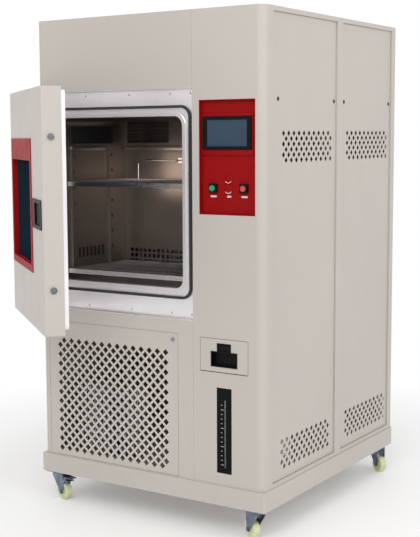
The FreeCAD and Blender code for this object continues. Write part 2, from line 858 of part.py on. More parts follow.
def rear_duct_panel():
    """The sheet in front of the air duct: two outlets high up, a punched inlet low down."""
    width = float(chamber_x[1] - chamber_x[0]) - 2 * fit
    height = float(chamber_z[1] - chamber_z[0]) - 2 * fit
    thick = float(d.duct_sheet)
    hole, pitch = float(d.inlet_hole), float(d.inlet_pitch)
    side = float(d.inlet_side)
    columns = int((width - 2 * side - hole) // pitch) + 1
    wires = [slot_outline(side + column * pitch, float(d.inlet_rise) + row * pitch, hole, hole)
             for row in range(3) for column in range(columns)]
    outlet = (float(d.outlet_width), float(d.outlet_height))
    for left in (float(d.outlet_side), width - float(d.outlet_side) - outlet[0]):
        wires.append(slot_outline(left, height - float(d.outlet_drop) - outlet[1], *outlet))
    shape = punched_sheet(width, height, thick, wires)
    upright = [edge for edge in shape.Edges
               if edge.Length < thick + 0.01
               and min(abs(edge.CenterOfMass.x), abs(edge.CenterOfMass.x - width)) < 0.01
               and min(abs(edge.CenterOfMass.z), abs(edge.CenterOfMass.z - height)) < 0.01]
    shape = shape.makeFillet(float(d.chamber_corner), upright)
    shape = shape.fuse(fan_cover(width, height, thick))
    shape.translate(FreeCAD.Vector(float(chamber_x[0]) + fit, float(chamber_back), float(chamber_z[0]) + fit))
    return formed(shape, "rear_duct_panel")


def fan_cover(width, height, thick):
    """A raised plate with round corners in the middle of the duct panel."""
    across, up = float(d.cover_width), float(d.cover_height)
    corner = FreeCAD.Vector((width - across) / 2, -thick, height - float(d.cover_drop) - up)
    plate = Part.makeBox(across, thick, up, corner)
    upright = [edge for edge in plate.Edges if abs(edge.tangentAt(0).y) > 0.999]
    return plate.makeFillet(float(d.cover_corner), upright)


def shelf_posts():
    """Four upright strips with round holes for the shelf hooks."""
    low = chamber_z[0] + d.post_strip_rise
    high = upper_shelf_top + 110
    end_gap = 12
    count = int(float(high - low - 2 * end_gap) // float(d.shelf_hole_pitch)) + 1
    strips = []
    for wall_x, side in ((chamber_x[0], 1), (chamber_x[1], -1)):
        for middle in (flange_face + d.front_post_inset, chamber_back - d.rear_post_inset):
            x = sorted((wall_x, wall_x + side * d.post_strip_thick), key=float)
            strip = box(x, (middle - d.post_strip / 2, middle + d.post_strip / 2), (low, high))
            holes = [rod("x", (middle, low + end_gap + number * d.shelf_hole_pitch), grown(x, 1),
                         d.shelf_hole / 2) for number in range(count)]
            strips.append(cut(strip, fuse(*holes)))
    return keep(group(*strips), "shelf_posts")


def shelf(level, label):
    """A wire shelf: a deep frame, wires from front to back and three cross wires."""
    inset = d.post_strip_thick + fit
    left, right = grown(chamber_x, -inset)
    near = flange_face + d.shelf_front_gap
    far = chamber_back - d.shelf_back_gap
    rim = d.shelf_frame
    side = rim / 2
    ring = cut(box((left, right), (near, far), (level - rim, level)),
               box((left + side, right - side), (near + side, far - side), (level - rim - 1, level + 1)))
    pieces = [ring]
    clear = right - left - 2 * side
    count = int(float(clear) // float(d.shelf_wire_pitch))
    wire = d.shelf_wire
    for number in range(count):
        x = left + side + (number + 0.5) * (clear / count)
        pieces.append(box((x - wire / 2, x + wire / 2), (near + side, far - side), (level - wire, level)))
    for share in (0.25, 0.5, 0.75):
        y = near + (far - near) * share
        pieces.append(box((left + side, right - side), (y - wire / 2, y + wire / 2),
                          (level - 2 * wire, level - wire)))
    return keep(fuse(*pieces), label)


def sensor_rod():
    """A thin probe that runs along the duct panel from a foot and ends in a thicker head."""
    z = chamber_z[0] + d.probe_rise
    foot_x = fan_centre
    foot = box((foot_x - 12, foot_x + 12), (chamber_back - d.duct_sheet - 3, chamber_back - d.duct_sheet),
               (z - 10, z + 10))
    stem_end = chamber_back - 40
    stem = rod("y", (foot_x, z), (stem_end, chamber_back - d.duct_sheet - 3), d.probe_radius)
    tip = foot_x - d.probe_length
    probe = rod("x", (stem_end, z), (tip, foot_x), d.probe_radius)
    head = rod("x", (stem_end, z), (tip - d.probe_head, tip), 2 * d.probe_radius)
    return keep(fuse(foot, stem, probe, head), "sensor_rod")


door_flange()
chamber_liner()
flange_gasket()
rear_duct_panel()
shelf_posts()
shelf(upper_shelf_top, "upper_shelf")
shelf(lower_shelf_top, "lower_shelf")
sensor_rod()


# Lamps above the chamber

lamp_x = grown(lamp_window_x, 30)
lamp_y = grown(lamp_window_y, 20)
lamp_house_z = (liner_top, liner_top + d.lamp_house_height)


def lamp_house():
    """A reflector box over the lamp window, open at the bottom."""
    wall = d.sheet
    shell = cut(box(lamp_x, lamp_y, lamp_house_z),
                box(grown(lamp_x, -wall), grown(lamp_y, -wall), (lamp_house_z[0] - 1, lamp_house_z[1] - wall)))
    return keep(shell, "lamp_house")


def xenon_lamps():
    middle = (lamp_window_y[0] + lamp_window_y[1]) / 2
    level = chamber_z[1] + d.lamp_rise
    tubes = [rod("x", (middle + step * d.lamp_pitch, level), grown(lamp_x, -d.sheet), d.lamp_radius)
             for step in (-1, 0, 1)]
    return keep(group(*tubes), "xenon_lamps")


def filter_glass():
    plate = box(grown(lamp_window_x, 10), grown(lamp_window_y, 10), (liner_top, liner_top + d.filter_thick))
    return keep(plate, "filter_glass")


lamp_house()
xenon_lamps()
filter_glass()


# Air duct behind the chamber and machine bay

fan_front = liner_back - 12 - d.fan_thick


def fan_wheel(hub, tip, thick, bore, blades):
    """A wheel along +Y from the origin: a hub with a bore and flat blades set at a slant."""
    body = Part.makeCylinder(hub, thick, FreeCAD.Vector(), FreeCAD.Vector(0, 1, 0))
    for number in range(blades):
        blade = Part.makeBox(tip - hub + 2, 2.5, thick - 4, FreeCAD.Vector(hub - 2, -1.25, -(thick - 4) / 2))
        blade.rotate(FreeCAD.Vector(), FreeCAD.Vector(1, 0, 0), 40)
        blade.translate(FreeCAD.Vector(0, thick / 2, 0))
        blade.rotate(FreeCAD.Vector(), FreeCAD.Vector(0, 1, 0), number * 360 / blades)
        body = body.fuse(blade)
    hole = Part.makeCylinder(bore, thick + 2, FreeCAD.Vector(0, -1, 0), FreeCAD.Vector(0, 1, 0))
    return body.cut(hole)


def circulation_fan():
    shape = fan_wheel(20, float(d.fan_radius), float(d.fan_thick), float(d.shaft_radius + d.running_gap), 8)
    shape.translate(FreeCAD.Vector(float(fan_centre), float(fan_front), float(fan_height)))
    return formed(shape, "circulation_fan")


condenser_x = (-half_width + d.condenser_side, -half_width + d.condenser_side + d.condenser_width)
condenser_y = (front + d.condenser_front_gap, front + d.condenser_front_gap + d.condenser_depth)
condenser_z = (floor_top, floor_top + d.condenser_height)
small_fan_x = (condenser_x[0] + condenser_x[1]) / 2
small_fan_y = condenser_y[1] + d.condenser_fan_gap
small_fan_z = (condenser_z[0] + condenser_z[1]) / 2


def condenser_fan():
    shape = fan_wheel(18, float(d.condenser_fan_radius), float(d.condenser_fan_thick),
                      float(d.shaft_radius + d.running_gap), 6)
    shape.translate(FreeCAD.Vector(float(small_fan_x), float(small_fan_y), float(small_fan_z)))
    return formed(shape, "condenser_fan")


def fan_motors():
    """The two motors, each with its shaft; the lower one stands on a bracket."""
    wall = liner_back + d.liner_wall
    centre = (fan_centre, fan_height)
    upper = fuse(rod("y", centre, (wall, wall + 8), 75), rod("y", centre, (wall + 8, wall + 110), 55),
                 rod("y", centre, (fan_front + 1, wall), d.shaft_radius))
    low_centre = (small_fan_x, small_fan_z)
    back = small_fan_y + d.condenser_fan_thick + 6
    lower = fuse(rod("y", low_centre, (back, back + 80), 40),
                 rod("y", low_centre, (small_fan_y + 1, back), d.shaft_radius),
                 box((small_fan_x - 30, small_fan_x + 30), (back + 20, back + 60),
                     (floor_top, small_fan_z - 30)))
    return keep(group(upper, lower), "fan_motors")


def air_heater():
    """A ring element round the fan, on three stand-offs from the liner's back."""
    ring = doc.addObject("Part::Torus", "Ring")
    radius = d.fan_radius + d.heater_gap
    depth = liner_back - d.heater_gap
    bind(ring, "Radius1", radius)
    bind(ring, "Radius2", d.heater_wire)
    ring.Placement = FreeCAD.Placement(FreeCAD.Vector(), TURNS["y"])
    place(ring, fan_centre, depth, fan_height)
    pieces = [ring]
    for angle in (90, 210, 330):
        x = fan_centre + radius * math.cos(math.radians(angle))
        z = fan_height + radius * math.sin(math.radians(angle))
        pieces.append(rod("y", (x, z), (depth, liner_back), 3))
    return keep(fuse(*pieces), "air_heater")


def finned_block(x, y, z, fins, label):
    """Upright fins joined by end tubes, as on an air-cooled coil."""
    low_x, high_x = (float(Size.of(value)) for value in x)
    low_y, high_y = (float(Size.of(value)) for value in y)
    low_z, high_z = (float(Size.of(value)) for value in z)
    block = None
    for number in range(fins):
        left = low_x + number * (high_x - low_x - 2) / (fins - 1)
        fin = Part.makeBox(2, high_y - low_y, high_z - low_z, FreeCAD.Vector(left, low_y, low_z))
        block = fin if block is None else block.fuse(fin)
    rows = max(2, int((high_z - low_z) // 50))
    for row in range(rows):
        height = low_z + (row + 0.5) * (high_z - low_z) / rows
        tube = Part.makeCylinder(6, high_x - low_x, FreeCAD.Vector(low_x, (low_y + high_y) / 2, height),
                                 FreeCAD.Vector(1, 0, 0))
        block = block.fuse(tube)
    return formed(block, label)


def compressor():
    """A hermetic can with domed ends on a square base plate."""
    x, y = d.compressor_x, d.compressor_y
    r, tall = d.compressor_radius, d.compressor_height
    foot = 6
    low_bend, high_bend = 25, 40
    base = box((x - r - 22, x + r + 22), (y - r - 2, y + r + 2), (floor_top, floor_top + foot))
    can = doc.addObject("PartDesign::Body", "Can")
    sketch = outline(can, "XZ_Plane",
                     [(0, 0), (r - low_bend, 0), (r, low_bend), (r, tall - high_bend),
                      (r - high_bend, tall), (0, tall)],
                     {1: (r - low_bend, low_bend), 3: (r - high_bend, tall - high_bend)})
    turn = can.newObject("PartDesign::Revolution", "Turn")
    turn.Profile = sketch
    turn.ReferenceAxis = (sketch, ["V_Axis"])
    turn.Angle = 360
    can.Tip = turn
    place(can, x, y, floor_top + foot)
    return keep(fuse(base, can), "compressor")


def humidifier():
    """A boiler can with a wider lid and a steam pipe."""
    centre = (d.humidifier_x, d.humidifier_y)
    top = floor_top + d.humidifier_height
    lid = 10
    pieces = [rod("z", centre, (floor_top, top), d.humidifier_radius),
              rod("z", centre, (top, top + lid), d.humidifier_radius + lid),
              rod("z", centre, (top + lid, top + lid + 70), 14)]
    return keep(fuse(*pieces), "humidifier")


def water_tank():
    """An open tank with round corners, under the flap."""
    x = (column_seam + d.tank_side, post_inside - d.tank_edge)
    y = (front + d.tank_front_gap, front + d.tank_front_gap + d.tank_depth)
    z = (floor_top, flap_low - d.tank_drop)
    wall = d.tank_wall
    corner = 20
    tank = cut(slab(x, y, z, corner, along="z"),
               slab(grown(x, -wall), grown(y, -wall), (floor_top + wall, z[1] + 1), corner - wall, along="z"))
    return keep(tank, "water_tank")


circulation_fan()
condenser_fan()
fan_motors()
air_heater()
finned_block(grown(chamber_x, -70), (liner_back - 80, liner_back - 30),
             (chamber_z[0], chamber_z[0] + d.coil_height), 18, "cooling_coil")
finned_block(condenser_x, condenser_y, condenser_z, 16, "condenser")
compressor()
humidifier()
water_tank()


# Control panel, tank flap and level window

def control_panel():
    """A red tray: a flange behind the sheet, four side walls and a floor."""
    wall = d.sheet
    lip = 10
    flange = box((panel_x[0] - lip, half_width - d.corner_radius), (front + wall, front + 2 * wall),
                 grown(panel_z, lip))
    tray = box(grown(panel_x, -fit), (front, panel_floor + wall), grown(panel_z, -fit))
    hollow = box(grown(panel_x, -wall - fit), (front - 1, panel_floor), grown(panel_z, -wall - fit))
    return keep(cut(fuse(flange, tray), hollow), "control_panel")


def screen_bezel():
    x = (screen_x[0] - d.screen_border_left, screen_x[1] + d.screen_border_right)
    frame = slab(x, (panel_floor - 8, panel_floor), grown(screen_z, d.screen_border), 5)
    hole = box(screen_x, (panel_floor - 9, panel_floor + 1), screen_z)
    return keep(cut(frame, hole), "screen_bezel")


def touch_screen():
    plate = box(grown(screen_x, -fit), (panel_floor - 5, panel_floor), grown(screen_z, -fit))
    return keep(plate, "touch_screen")


def button_bases():
    """Two square bases, each with a round bore for its button."""
    face = panel_floor - d.button_base_depth
    bases = []
    for x in (green_x, red_x):
        half = d.button_base / 2
        block = slab((x - half, x + half), (face, panel_floor), (button_height - half, button_height + half), 3)
        bore = rod("y", (x, button_height), (face - 1, panel_floor + 1), d.button_radius + d.running_gap)
        bases.append(cut(block, bore))
    return keep(group(*bases), "button_bases")


def push_button(x, label):
    face = panel_floor - d.button_base_depth - d.button_travel - 1
    cap = rod("y", (x, button_height), (face, panel_floor - d.button_travel - 1), d.button_radius)
    return keep(cap, label)


def tank_flap():
    """A flush door on a long pin at its foot, cut out for the latch cup."""
    x, z = grown(flap_x, -d.seam_gap), grown(flap_z, -d.seam_gap)
    thick = d.flap_thick
    plate = box(x, (front, front + thick), (flap_axis_z, z[1]))
    knuckle = rod("x", (flap_axis_y, flap_axis_z), x, thick / 2)
    pin = rod("x", (flap_axis_y + 0.5, flap_axis_z), grown(flap_x, d.ear_width), d.flap_pin)
    latch = box(latch_x, (front - 1, front + thick + 1), latch_z)
    tab = box(tab_x, (front - 1, front + thick + 1), (latch_z[1] - 1, tab_high))
    return keep(cut(fuse(plate, knuckle, pin), latch, tab), "tank_flap")


tab_axis_y = front + 6
tab_axis_z = latch_z[1] + d.tab_height / 2
tab_pin = 1.5
cup_wall = 4


def latch_cup():
    """The black cup in the flap: a finger pocket below and a seat for the tab above."""
    rim = 1.5
    depth = (front - rim, front + d.latch_depth)
    hollow = (front - rim - 1, front + d.latch_depth - 2)
    lower = cut(box(grown(latch_x, -fit), depth, grown(latch_z, -fit)),
                box(grown(latch_x, -cup_wall), hollow, grown(latch_z, -cup_wall)))
    upper = cut(box(grown(tab_x, -fit), depth, (latch_z[1] - fit, tab_high - fit)),
                box(grown(tab_x, -cup_wall), hollow, (latch_z[1] + 2, tab_high - cup_wall)))
    holes = rod("x", (tab_axis_y, tab_axis_z), grown(tab_x, -1), tab_pin + d.running_gap)
    return keep(cut(fuse(lower, upper), holes), "latch_cup")


def latch_tab():
    """The tab that is pressed to free the flap, on its own cross pin."""
    x = grown(tab_x, -cup_wall - 0.6)
    centre = (tab_axis_y, tab_axis_z)
    plate = box(x, (front - 0.5, front + cup_wall), (latch_z[1] + cup_wall, tab_high - cup_wall - 2))
    barrel = rod("x", centre, x, 2 * tab_pin)
    pin = rod("x", centre, grown(tab_x, -1.2), tab_pin)
    return keep(fuse(plate, barrel, pin), "latch_tab")


def level_window():
    """A dark strip let into the column, with two sight tubes behind it."""
    x, z = grown(gauge_x, -fit), grown(gauge_z, -fit)
    strip = box(x, (front + 0.5, front + d.sheet), z)
    flange = box(grown(x, 10), (front + d.sheet, front + 2 * d.sheet), grown(z, 10))
    tube_y = front + d.sheet + 1
    tubes = [rod("z", (gauge_x[0] + share * d.gauge_width, tube_y), grown(gauge_z, -14), 2.5)
             for share in (0.4, 0.7)]
    return keep(fuse(strip, flange, *tubes), "level_window")


control_panel()
screen_bezel()
touch_screen()
button_bases()
push_button(green_x, "green_button")
push_button(red_x, "red_button")
tank_flap()
latch_cup()
latch_tab()
level_window()


# Door, drawn shut and then turned open about its hinge

hinge_point = FreeCAD.Vector(float(hinge_x), float(hinge_y), 0)
hinge_levels = (door_z[0] + d.hinge_inset, (door_z[0] + door_z[1]) / 2, door_z[1] - d.hinge_inset)
knuckle_gap = 0.3


def opened(item, label):
    turned(item, -float(d.door_open_angle), hinge_point)
    return keep(item, label)


def door_shell():
    """A painted tray, open at the back, with a window cut-out and a pocket for the handle."""
    wall = d.sheet
    outside = slab(door_x, (door_outer, door_inner), door_z, 3 * wall)
    inside = box(grown(door_x, -wall), (door_outer + wall, door_inner - wall), grown(door_z, -wall))
    seat = d.bezel_side / 2
    bezel = box(grown(bezel_x, -seat), (door_outer - 1, door_inner + 1), grown(bezel_z, -seat))
    handle = box(grown(handle_x, -4), (door_outer - 1, door_outer + wall + 1), grown(handle_z, -4))
    return opened(cut(outside, inside, bezel, handle), "door_shell")


pan_x = (-half_width + d.pan_side, column_seam - d.pan_jamb)
pan_z = (recess_low + d.pan_margin, recess_high - d.pan_margin)
window_x = grown(bezel_x, -d.bezel_side)
window_z = (bezel_z[0] + d.bezel_side, bezel_z[1] - d.bezel_top)
pane_front = door_outer + d.bezel_depth


def door_pan():
    """The stainless inner face: a shallow plate with round corners, open at the window."""
    plate = slab(pan_x, (door_inner, door_inner + d.pan_thick), pan_z, 12)
    hole = box(window_x, (door_inner - 1, door_inner + d.pan_thick + 1), window_z)
    return opened(cut(plate, hole), "door_pan")


def window_bezel():
    """The red surround: a flat flange on the shell and a deep reveal round the glass."""
    flange = box(bezel_x, (door_outer - 3, door_outer), bezel_z)
    reveal = box(grown(window_x, 3), (door_outer, door_inner), grown(window_z, 3))
    hole = box(window_x, (door_outer - 4, door_inner + 1), window_z)
    return opened(cut(fuse(flange, reveal), hole), "window_bezel")


def window_glass():
    """The sealed double pane, set into the reveal."""
    pane = box(grown(window_x, -fit), (pane_front, pane_front + d.glass_thick), grown(window_z, -fit))
    return opened(group(pane), "window_glass")


lever_pin = 2.5
lever_barrel = 4.5
grip_axis_x = handle_x[0] + 0.3 * d.handle_width
grip_axis_y = door_outer + 10


def handle_body():
    """A black cup let into the door, with a slot for the pull lever."""
    flange = slab(handle_x, (door_outer - 3, door_outer), handle_z, 4)
    cup = box(grown(handle_x, -5), (door_outer, door_outer + d.handle_depth), grown(handle_z, -5))
    hollow = box((grip_axis_x - 6, handle_x[1] - 30), (door_outer - 4, door_outer + d.handle_depth - 4),
                 grown(handle_z, -12))
    bore = rod("z", (grip_axis_x, grip_axis_y), grown(handle_z, -8), lever_pin + d.running_gap)
    return opened(cut(fuse(flange, cup), hollow, bore), "handle_body")


def handle_lever():
    """A flat pull with a round edge on its pin."""
    z = grown(handle_z, -13)
    centre = (grip_axis_x, grip_axis_y)
    blade = box((grip_axis_x, grip_axis_x + 42), (grip_axis_y - 7, grip_axis_y - 1), z)
    barrel = rod("z", centre, z, lever_barrel)
    bridge = box((grip_axis_x - 2, grip_axis_x + 4), (grip_axis_y - 5, grip_axis_y), z)
    pin = rod("z", centre, grown(handle_z, -8.5), lever_pin)
    return opened(fuse(blade, barrel, bridge, pin), "handle_lever")


def door_studs():
    """Two bright studs on the free edge."""
    edge = door_x[1]
    depth = door_outer + 0.45 * d.door_thick
    studs = [fuse(rod("x", (depth, z), (edge, edge + 4), d.stud_radius),
                  rod("x", (depth, z), (edge + 4, edge + 9), 0.55 * d.stud_radius))
             for z in (door_z[0] + d.stud_rise, door_z[1] - d.stud_drop)]
    return opened(group(*studs), "door_studs")


def hinge_hangers():
    """The door's half of each hinge: an arm on its edge and the upper knuckle."""
    hangers = []
    centre = (hinge_x, hinge_y)
    barrel_reach = d.hinge_barrel - 1
    for level in hinge_levels:
        z = (level + knuckle_gap, level + d.hinge_knuckle)
        arm = doc.addObject("PartDesign::Body", "Arm")
        points = [(door_x[0], door_outer + 8), (door_x[0], door_inner - 8),
                  (hinge_x + barrel_reach, hinge_y), (hinge_x - barrel_reach, hinge_y),
                  (door_x[0] - 6, door_outer + 8)]
        arm.Tip = pad(arm, outline(arm, "XY_Plane", points), d.hinge_knuckle - knuckle_gap)
        place(arm, 0, 0, z[0])
        barrel = rod("z", centre, z, d.hinge_barrel)
        bore = rod("z", centre, grown(z, 1), d.hinge_pin + d.running_gap)
        hangers.append(cut(fuse(arm, barrel), bore))
    return opened(group(*hangers), "hinge_hangers")


def hinge_brackets():
    """The cabinet's half: a leaf on the side, the lower knuckle and the upright pin."""
    brackets = []
    centre = (hinge_x, hinge_y)
    leaf_face = -half_width - 3
    for level in hinge_levels:
        z = (level - d.hinge_knuckle, level)
        leaf = box((leaf_face, -half_width), (front + d.corner_radius, return_back - 1),
                   (level - d.hinge_knuckle, level + d.hinge_knuckle))
        arm = box((hinge_x, leaf_face), (hinge_y - 6, hinge_y + 6), z)
        barrel = rod("z", centre, z, d.hinge_barrel)
        pin = rod("z", centre, (level, level + d.hinge_knuckle + 2), d.hinge_pin)
        brackets.append(fuse(leaf, arm, barrel, pin))
    return keep(group(*brackets), "hinge_brackets")


door_shell()
door_pan()
window_bezel()
window_glass()
handle_body()
handle_lever()
door_studs()
hinge_hangers()
hinge_brackets()


# Casters, each drawn trailing towards -X and then turned on its king pin

CASTERS = {
    "front_left": (-1, -1, 165),
    "front_right": (1, -1, -27),
    "rear_right": (1, 1, 148),
    "rear_left": (-1, 1, 160),
}
caster_x = half_width - d.caster_side
caster_y = half_depth - d.caster_end
plate_under = plinth_under - d.caster_plate
boss_under = plate_under - d.caster_boss
crown_top = boss_under - fit
crown_under = crown_top - d.fork_sheet
fork_inside = d.wheel_width / 2 + 1.5
pedal_axis = (6 - float(d.fork_tail), float(crown_under) - 6)


def caster_spot(name):
    side_x, side_y, angle = CASTERS[name]
    return FreeCAD.Vector(side_x * float(caster_x), side_y * float(caster_y), 0), angle


def caster_plates():
    """Plates under the plinth's gussets, each with the boss that the king pin turns in."""
    plates = []
    for name in CASTERS:
        side_x, side_y, _ = CASTERS[name]
        x, y = caster_x * side_x, caster_y * side_y
        plate = slab((x - 45, x + 45), (y - 35, y + 35), (plate_under, plinth_under), 8, along="z")
        boss = rod("z", (x, y), (boss_under, plate_under), 22)
        bore = rod("z", (x, y), (boss_under - 1, plinth_under + 1), d.king_pin + d.running_gap)
        plates.append(cut(fuse(plate, boss), bore))
    return keep(group(*plates), "caster_plates")


def hexagon(corner, thick, start):
    """A nut along +Y from a start point."""
    points = [FreeCAD.Vector(corner * math.cos(math.radians(angle)), 0, corner * math.sin(math.radians(angle)))
              for angle in range(0, 361, 60)]
    nut = Part.Face(Part.makePolygon(points)).extrude(FreeCAD.Vector(0, thick, 0))
    nut.translate(start)
    return nut


def caster_fork(name):
    """A pressed fork: a crown, two cheeks that taper to the axle, its nuts and the king pin."""
    wall = float(d.fork_sheet)
    top, under = float(crown_top), float(crown_under)
    inside = float(fork_inside)
    trail, axle_z = -float(d.wheel_trail), float(d.wheel_radius)
    nose, tail = float(d.fork_nose), -float(d.fork_tail)
    skirt = 10.0
    eye = 10.0
    points = [FreeCAD.Vector(x, 0, z) for x, z in (
        (nose, under), (nose, under - skirt), (trail + eye, axle_z), (trail - eye, axle_z),
        (tail, under - skirt), (tail, under))]
    edges = []
    for index, start in enumerate(points):
        end = points[(index + 1) % len(points)]
        if index == 2:
            edges.append(Part.Arc(start, FreeCAD.Vector(trail, 0, axle_z - eye), end).toShape())
        else:
            edges.append(Part.makeLine(start, end))
    cheek = Part.Face(Part.Wire(edges)).extrude(FreeCAD.Vector(0, wall, 0))
    shape = Part.makeBox(nose - tail, 2 * (inside + wall), wall, FreeCAD.Vector(tail, -inside - wall, under))
    nut = 4.0
    for start, nut_start in ((inside, inside + wall), (-inside - wall, -inside - wall - nut)):
        side = cheek.copy()
        side.translate(FreeCAD.Vector(0, start, 0))
        shape = shape.fuse([side, hexagon(1.8 * float(d.axle_radius), nut,
                                          FreeCAD.Vector(trail, nut_start, axle_z))])
    shape = shape.fuse(Part.makeCylinder(24, wall, FreeCAD.Vector(0, 0, under)))
    axle_half = inside + wall + nut + 1
    axle = Part.makeCylinder(float(d.axle_radius), 2 * axle_half, FreeCAD.Vector(trail, -axle_half, axle_z),
                             FreeCAD.Vector(0, 1, 0))
    pin = Part.makeCylinder(float(d.king_pin), float(plinth_under) - 1 - top, FreeCAD.Vector(0, 0, top))
    shape = shape.fuse([axle, pin])
    if name == "front_left":
        x, z = pedal_axis
        pivot = Part.makeCylinder(3, 2 * inside, FreeCAD.Vector(x, -inside, z), FreeCAD.Vector(0, 1, 0))
        shape = shape.fuse(pivot)
    item = doc.addObject("Part::Feature", "Fork")
    item.Shape = shape.removeSplitter()
    spot, angle = caster_spot(name)
    item.Placement = FreeCAD.Placement(spot, FreeCAD.Rotation(FreeCAD.Vector(0, 0, 1), angle))
    return keep(item, f"{name}_fork")


def caster_wheel(name):
    """A turned wheel with a rounded tread and dished sides."""
    r = d.wheel_radius
    half = d.wheel_width / 2
    hub = half + 1.2
    bore = d.axle_radius + d.running_gap
    body = doc.addObject("PartDesign::Body", "Wheel")
    points = [(bore, -hub), (10, -hub), (10, 3 - half), (r - 10, 3 - half), (r - 8, -half),
              (r - 4, -half), (r, 4 - half), (r, half - 4), (r - 4, half), (r - 8, half),
              (r - 10, half - 3), (10, half - 3), (10, hub), (bore, hub)]
    sketch = outline(body, "XY_Plane", points, {5: (r - 4, 4 - half), 7: (r - 4, half - 4)})
    turn = body.newObject("PartDesign::Revolution", "Turn")
    turn.Profile = sketch
    turn.ReferenceAxis = (sketch, ["V_Axis"])
    turn.Angle = 360
    body.Tip = turn
    spot, angle = caster_spot(name)
    swing = FreeCAD.Rotation(FreeCAD.Vector(0, 0, 1), angle)
    offset = swing.multVec(FreeCAD.Vector(-float(d.wheel_trail), 0, float(r)))
    body.Placement = FreeCAD.Placement(spot + offset, swing)
    return keep(body, f"{name}_wheel")


def brake_pedal():
    """A foot pedal that turns on the cross pin of the front left fork, with a short lower tab."""
    x, z = pedal_axis
    inside = float(fork_inside) - 0.5
    reach = float(d.pedal_reach)
    barrel = Part.makeCylinder(5.5, 2 * inside, FreeCAD.Vector(x, -inside, z), FreeCAD.Vector(0, 1, 0))
    plate = Part.makeBox(reach, 2 * inside, 3, FreeCAD.Vector(x - reach, -inside, z - 1.5))
    web = Part.makeBox(4, 2 * inside, 14, FreeCAD.Vector(x - 20, -inside, z - 15))
    tab = Part.makeBox(16, 2 * inside, 3, FreeCAD.Vector(x - 34, -inside, z - 15))
    bore = Part.makeCylinder(3 + float(d.running_gap), 2 * inside + 2, FreeCAD.Vector(x, -inside - 1, z),
                             FreeCAD.Vector(0, 1, 0))
    item = doc.addObject("Part::Feature", "Pedal")
    item.Shape = barrel.fuse([plate, web, tab]).cut(bore).removeSplitter()
    spot, angle = caster_spot("front_left")
    item.Placement = FreeCAD.Placement(spot, FreeCAD.Rotation(FreeCAD.Vector(0, 0, 1), angle))
    return keep(item, "brake_pedal")


caster_plates()
for caster in CASTERS:
    caster_fork(caster)
    caster_wheel(caster)
brake_pedal()


# Output

doc.recompute()
faults = [f"{item.Name} {item.Label}: {item.State}" for item in doc.Objects
          if "Invalid" in item.State or "Error" in item.State]
for item in nodes:
    if item.Shape.isNull():
        faults.append(f"{item.Label} has no shape")
    elif not item.Shape.isValid():
        faults.append(f"{item.Label} has a shape that isn't valid")
if faults:
    raise RuntimeError("; ".join(faults))
os.makedirs("parts", exist_ok=True)
for item in nodes:
    item.Shape.exportStep(os.path.join("parts", f"{item.Label}.step"))
print(len(nodes), "parts written")
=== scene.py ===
"""Looks of a floor-standing weathering chamber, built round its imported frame."""
import math

import bmesh
import bpy
from mathutils import Matrix, Vector


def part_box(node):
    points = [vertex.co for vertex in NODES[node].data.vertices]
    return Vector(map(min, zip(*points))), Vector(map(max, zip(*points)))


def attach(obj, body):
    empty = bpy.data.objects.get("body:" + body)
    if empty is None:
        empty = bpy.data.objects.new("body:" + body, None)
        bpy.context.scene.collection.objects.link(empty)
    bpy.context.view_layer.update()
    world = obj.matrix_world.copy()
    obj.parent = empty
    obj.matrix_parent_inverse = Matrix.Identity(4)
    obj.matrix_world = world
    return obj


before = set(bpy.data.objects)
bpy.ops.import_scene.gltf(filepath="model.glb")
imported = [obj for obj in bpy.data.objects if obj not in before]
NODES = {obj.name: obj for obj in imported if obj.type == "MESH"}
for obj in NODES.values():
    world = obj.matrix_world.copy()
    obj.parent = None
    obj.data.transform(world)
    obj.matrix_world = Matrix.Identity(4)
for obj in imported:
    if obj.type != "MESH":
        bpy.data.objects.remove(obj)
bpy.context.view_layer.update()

bl_info = {
    "name": "Weathering Chamber Looks",
    "version": (1, 0, 0),
    "blender": (4, 5, 0),
    "location": "View3D > Sidebar > Chamber",
    "description": "Materials, small fittings and studio of a weathering test chamber",
    "category": "Object",
}

MM = 0.001
FACES_ALONG = 0.9
SMOOTH_ANGLE = math.radians(40)


# Sizes taken from the frame

def low(node):
    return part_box(node)[0]


def high(node):
    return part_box(node)[1]


FRONT = low("front_column").y
RIGHT_PANEL_FACE = high("right_front_panel").x
FLANGE_FACE = high("flange_gasket").y
PANEL_FLOOR = high("screen_bezel").y
SHEET = 2 * MM
DUCT_FACE = high("rear_duct_panel").y - SHEET
FIT = 0.3 * MM
LINER_LEFT = low("rear_duct_panel").x - FIT
CEILING = high("rear_duct_panel").z + FIT
SHELF_TOP = high("upper_shelf").z
ROOF = high("roof_panel").z


# Modelling helpers

def clear_selection():
    if bpy.context.object and bpy.context.object.mode != "OBJECT":
        bpy.ops.object.mode_set(mode="OBJECT")
    bpy.ops.object.select_all(action="DESELECT")


def named(name):
    """Names the active new object and its mesh."""
    piece = bpy.context.object
    piece.name = name
    piece.data.name = name
    return piece


def add_cylinder(name, radius, depth, sides=32):
    """A cylinder standing on the origin along +Z."""
    clear_selection()
    bpy.ops.mesh.primitive_cylinder_add(vertices=sides, radius=radius, depth=depth,
                                        location=(0, 0, depth / 2))
    return named(name)


def add_block(name, corner_a, corner_b):
    """A block between two corners."""
    clear_selection()
    a, b = Vector(corner_a), Vector(corner_b)
    bpy.ops.mesh.primitive_cube_add(size=1, location=(a + b) / 2)
    piece = named(name)
    piece.scale = b - a
    apply_place(piece)
    return piece


def apply_place(piece):
    clear_selection()
    piece.select_set(True)
    bpy.context.view_layer.objects.active = piece
    bpy.ops.object.transform_apply(location=True, rotation=True, scale=True)


